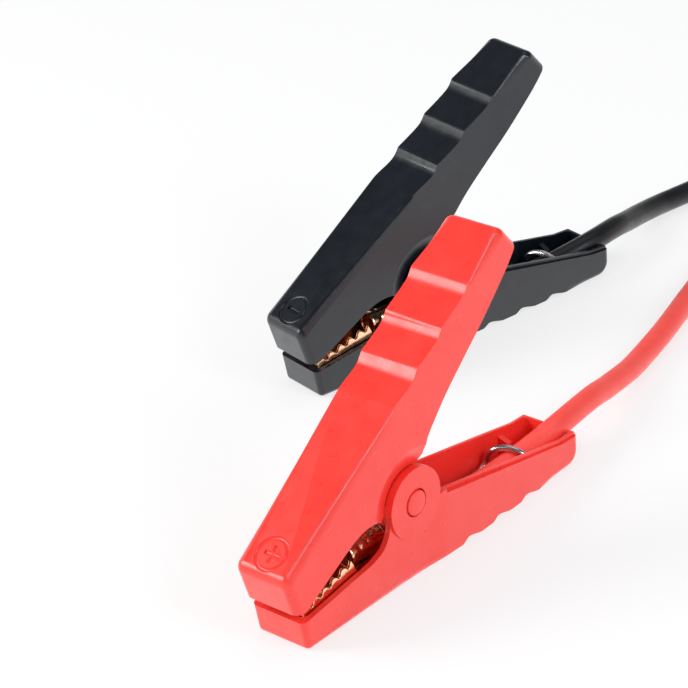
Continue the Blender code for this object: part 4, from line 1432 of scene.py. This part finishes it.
    def tie(self) -> bpy.types.Object:
        """Pulls the tie round both leads: strap with fine teeth, lock and cut tail.

        Returns:
            The finished piece.
        """
        half, gap, grow = self.tie_half, self.tie_gap, self.radius + FIT

        def loop(extra: float) -> Outline:
            """The strap's outline at this thickness."""
            right = arc((gap, self.tie_z), grow + extra, -90.0, 90.0, 24)
            return right + arc((-gap, self.tie_z), grow + extra, 90.0, 270.0, 24)

        made = plate("lead_tie_strap", loop(self.tie_thick), -half, half)
        top = self.tie_z + grow
        lock = rounded(rectangle(-2.6, top + 0.2, 1.4, top + 3.2), {2: 0.6, 3: 0.6}, 4)
        join(made, plate("lock", lock, -half - 0.7, half + 0.7))
        stub = rectangle(1.0, top + 1.4, 4.6, top + 2.2)
        join(made, plate("stub", stub, -half + 0.3, half - 0.3))
        cut(made, plate("hole", loop(0.0), -half - 9.0, half + 9.0))
        for k in range(9):
            tooth_x = -gap + 0.85 * k
            groove = rectangle(tooth_x - 0.2, 0.0, tooth_x + 0.2, 0.45)
            cut(made, plate("tooth groove", groove, -half + 0.5, half - 0.5))
        ease_edges(made, 0.12)
        _, y, _ = self.plug
        lay = Matrix.Translation((self.tie_x, y, 0)) @ Matrix.Rotation(math.radians(90), 4, "Z")
        return finish(made, TIE_NYLON, lay, "lower_halves", "lead_tie")

    def build(self) -> None:
        """Makes the plug, the tie and both leads."""
        shared = [self.housing(), self.cover(), self.tie()]
        first = self.contact(self.positive, self.pole_half)
        second = self.contact(self.negative, -self.pole_half)
        self.lead(self.positive, RED_JACKET, "medium", [first, *shared])
        self.lead(self.negative, BLACK_JACKET, "medium", [second])


# The studio


@dataclass
class Studio:
    """Pale table, soft lamps and the camera, placed in metres."""

    camera_at: tuple[float, float, float] = (-0.48152, -0.42185, 0.3663)
    heading: float = -47.18
    down: float = 28.05
    roll: float = -4.81
    lens: float = 146.8
    table_glow: float = 0.7

    def camera(self) -> None:
        """Sets the camera: heading, downward tilt and roll in degrees."""
        az, el, roll = (math.radians(a) for a in (self.heading, self.down, self.roll))
        right = Vector((math.cos(az), math.sin(az), 0.0))
        forward = Vector((-math.sin(az), math.cos(az), 0.0)) * math.cos(el) - Vector((0, 0, math.sin(el)))
        up = right.cross(forward)
        across = math.cos(roll) * right + math.sin(roll) * up
        upright = -math.sin(roll) * right + math.cos(roll) * up
        data = bpy.data.cameras.new("camera")
        data.lens, data.sensor_width, data.clip_start = self.lens, 36.0, 0.02
        eye = linked("camera", data)
        turn = Matrix((across, upright, -forward)).transposed().to_4x4()
        eye.matrix_world = Matrix.Translation(self.camera_at) @ turn
        bpy.context.scene.camera = eye

    def lamp(self, name: str, towards: tuple[float, float, float], away: float, size: float, glow: float,
             tint: str = "#FFFFFF") -> None:
        """Hangs one soft box that faces the clamps.

        Args:
            name: Its name.
            towards: Direction from the clamps to the lamp.
            away: Its distance in metres.
            size: The side of its square, in metres.
            glow: The light that its face gives off, with a white wall at 1.
            tint: Its colour.
        """
        data = bpy.data.lights.new(name, "AREA")
        data.shape, data.size = "SQUARE", size
        data.energy = glow * math.pi * size * size
        data.color = linear(tint)[:3]
        made = linked(name, data)
        direction = Vector(towards).normalized()
        made.location = direction * away + Vector((0.0, 0.0, 0.03))
        made.rotation_euler = direction.to_track_quat("Z", "Y").to_euler()

    def world(self) -> None:
        """White all round near the horizon, darker overhead, with a plainer fill for the shading."""
        world = bpy.data.worlds.new("studio")
        bpy.context.scene.world = world
        world.use_nodes = True
        tree = world.node_tree
        tree.nodes.clear()
        aim = add_node(tree, "ShaderNodeTexCoord").outputs["Generated"]
        height = add_node(tree, "ShaderNodeSeparateXYZ", {0: aim}).outputs["Z"]
        fall = {"Value": height, "From Min": 0.1, "From Max": 0.45, "To Min": 1.1, "To Max": 0.12}
        seen = add_node(tree, "ShaderNodeMapRange", fall).outputs["Result"]
        rays = add_node(tree, "ShaderNodeLightPath").outputs
        mirror = add_node(tree, "ShaderNodeMath", {0: rays["Is Glossy Ray"], 1: rays["Is Transmission Ray"]},
                          operation="MAXIMUM").outputs[0]
        fill = add_node(tree, "ShaderNodeMix", {"Factor": mirror, 2: 0.5, 3: seen}).outputs[0]
        level = add_node(tree, "ShaderNodeMix", {"Factor": rays["Is Camera Ray"], 2: fill, 3: 1.0}).outputs[0]
        shade = add_node(tree, "ShaderNodeBackground", {"Color": linear("#FFFFFF"), "Strength": level})
        add_node(tree, "ShaderNodeOutputWorld", {"Surface": shade.outputs[0]})

    def table(self) -> None:
        """Lays the white table, which keeps a soft shadow."""
        mesh = bmesh.new()
        bmesh.ops.create_grid(mesh, x_segments=1, y_segments=1, size=3.0)
        data = bpy.data.meshes.new("table")
        mesh.to_mesh(data)
        mesh.free()
        made = linked("table", data)
        made.location.z = -0.0002
        look = bpy.data.materials.new("matt white laminate")
        look.use_nodes = True
        tree = look.node_tree
        surface = tree.nodes["Principled BSDF"]
        surface.inputs["Base Color"].default_value = linear("#F7F7F7")
        surface.inputs["Roughness"].default_value = 0.7
        surface.inputs["Specular IOR Level"].default_value = 0.2
        rays = add_node(tree, "ShaderNodeLightPath").outputs
        glossy, camera = rays["Is Glossy Ray"], rays["Is Camera Ray"]
        levels = {"Value": glossy, "To Min": 1.0, "To Max": 1.5}
        level = add_node(tree, "ShaderNodeMapRange", levels).outputs[0]
        glow = add_node(tree, "ShaderNodeEmission", {"Color": linear("#FFFFFF"), "Strength": level})
        dimmed = {0: camera, 1: self.table_glow}
        seen = add_node(tree, "ShaderNodeMath", dimmed, operation="MULTIPLY").outputs[0]
        share = add_node(tree, "ShaderNodeMath", {0: glossy, 1: seen}, operation="MAXIMUM").outputs[0]
        lit = add_node(tree, "ShaderNodeMixShader", {0: share, 1: surface.outputs[0], 2: glow.outputs[0]})
        tree.links.new(lit.outputs[0], tree.nodes["Material Output"].inputs["Surface"])
        data.materials.append(look)

    def build(self) -> None:
        """Sets up camera, table, lamps, world and view transform."""
        self.camera()
        self.table()
        self.lamp("overhead soft box", (0.25, 0.1, 1.0), 1.3, 0.9, 0.8)
        self.lamp("back soft box", (-0.62, 0.6, 0.48), 1.1, 0.5, 11.0)
        self.lamp("front soft box", (-0.04, -0.82, 0.57), 1.1, 0.34, 13.0, "#EAF3FF")
        self.world()
        bpy.context.scene.view_settings.view_transform = "Standard"


def main() -> None:
    """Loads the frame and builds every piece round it."""
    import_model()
    Studio().build()
    positive = BatteryClamp(Pole.POSITIVE, (-97.32, -37.75), 0.0, RED_SHELL)
    negative = BatteryClamp(Pole.NEGATIVE, (-3.57, 38.42), -11.63, BLACK_SHELL)
    LeadSet(positive, negative).build()
    positive.build()
    negative.build()


if __name__ == "__main__":
    main()
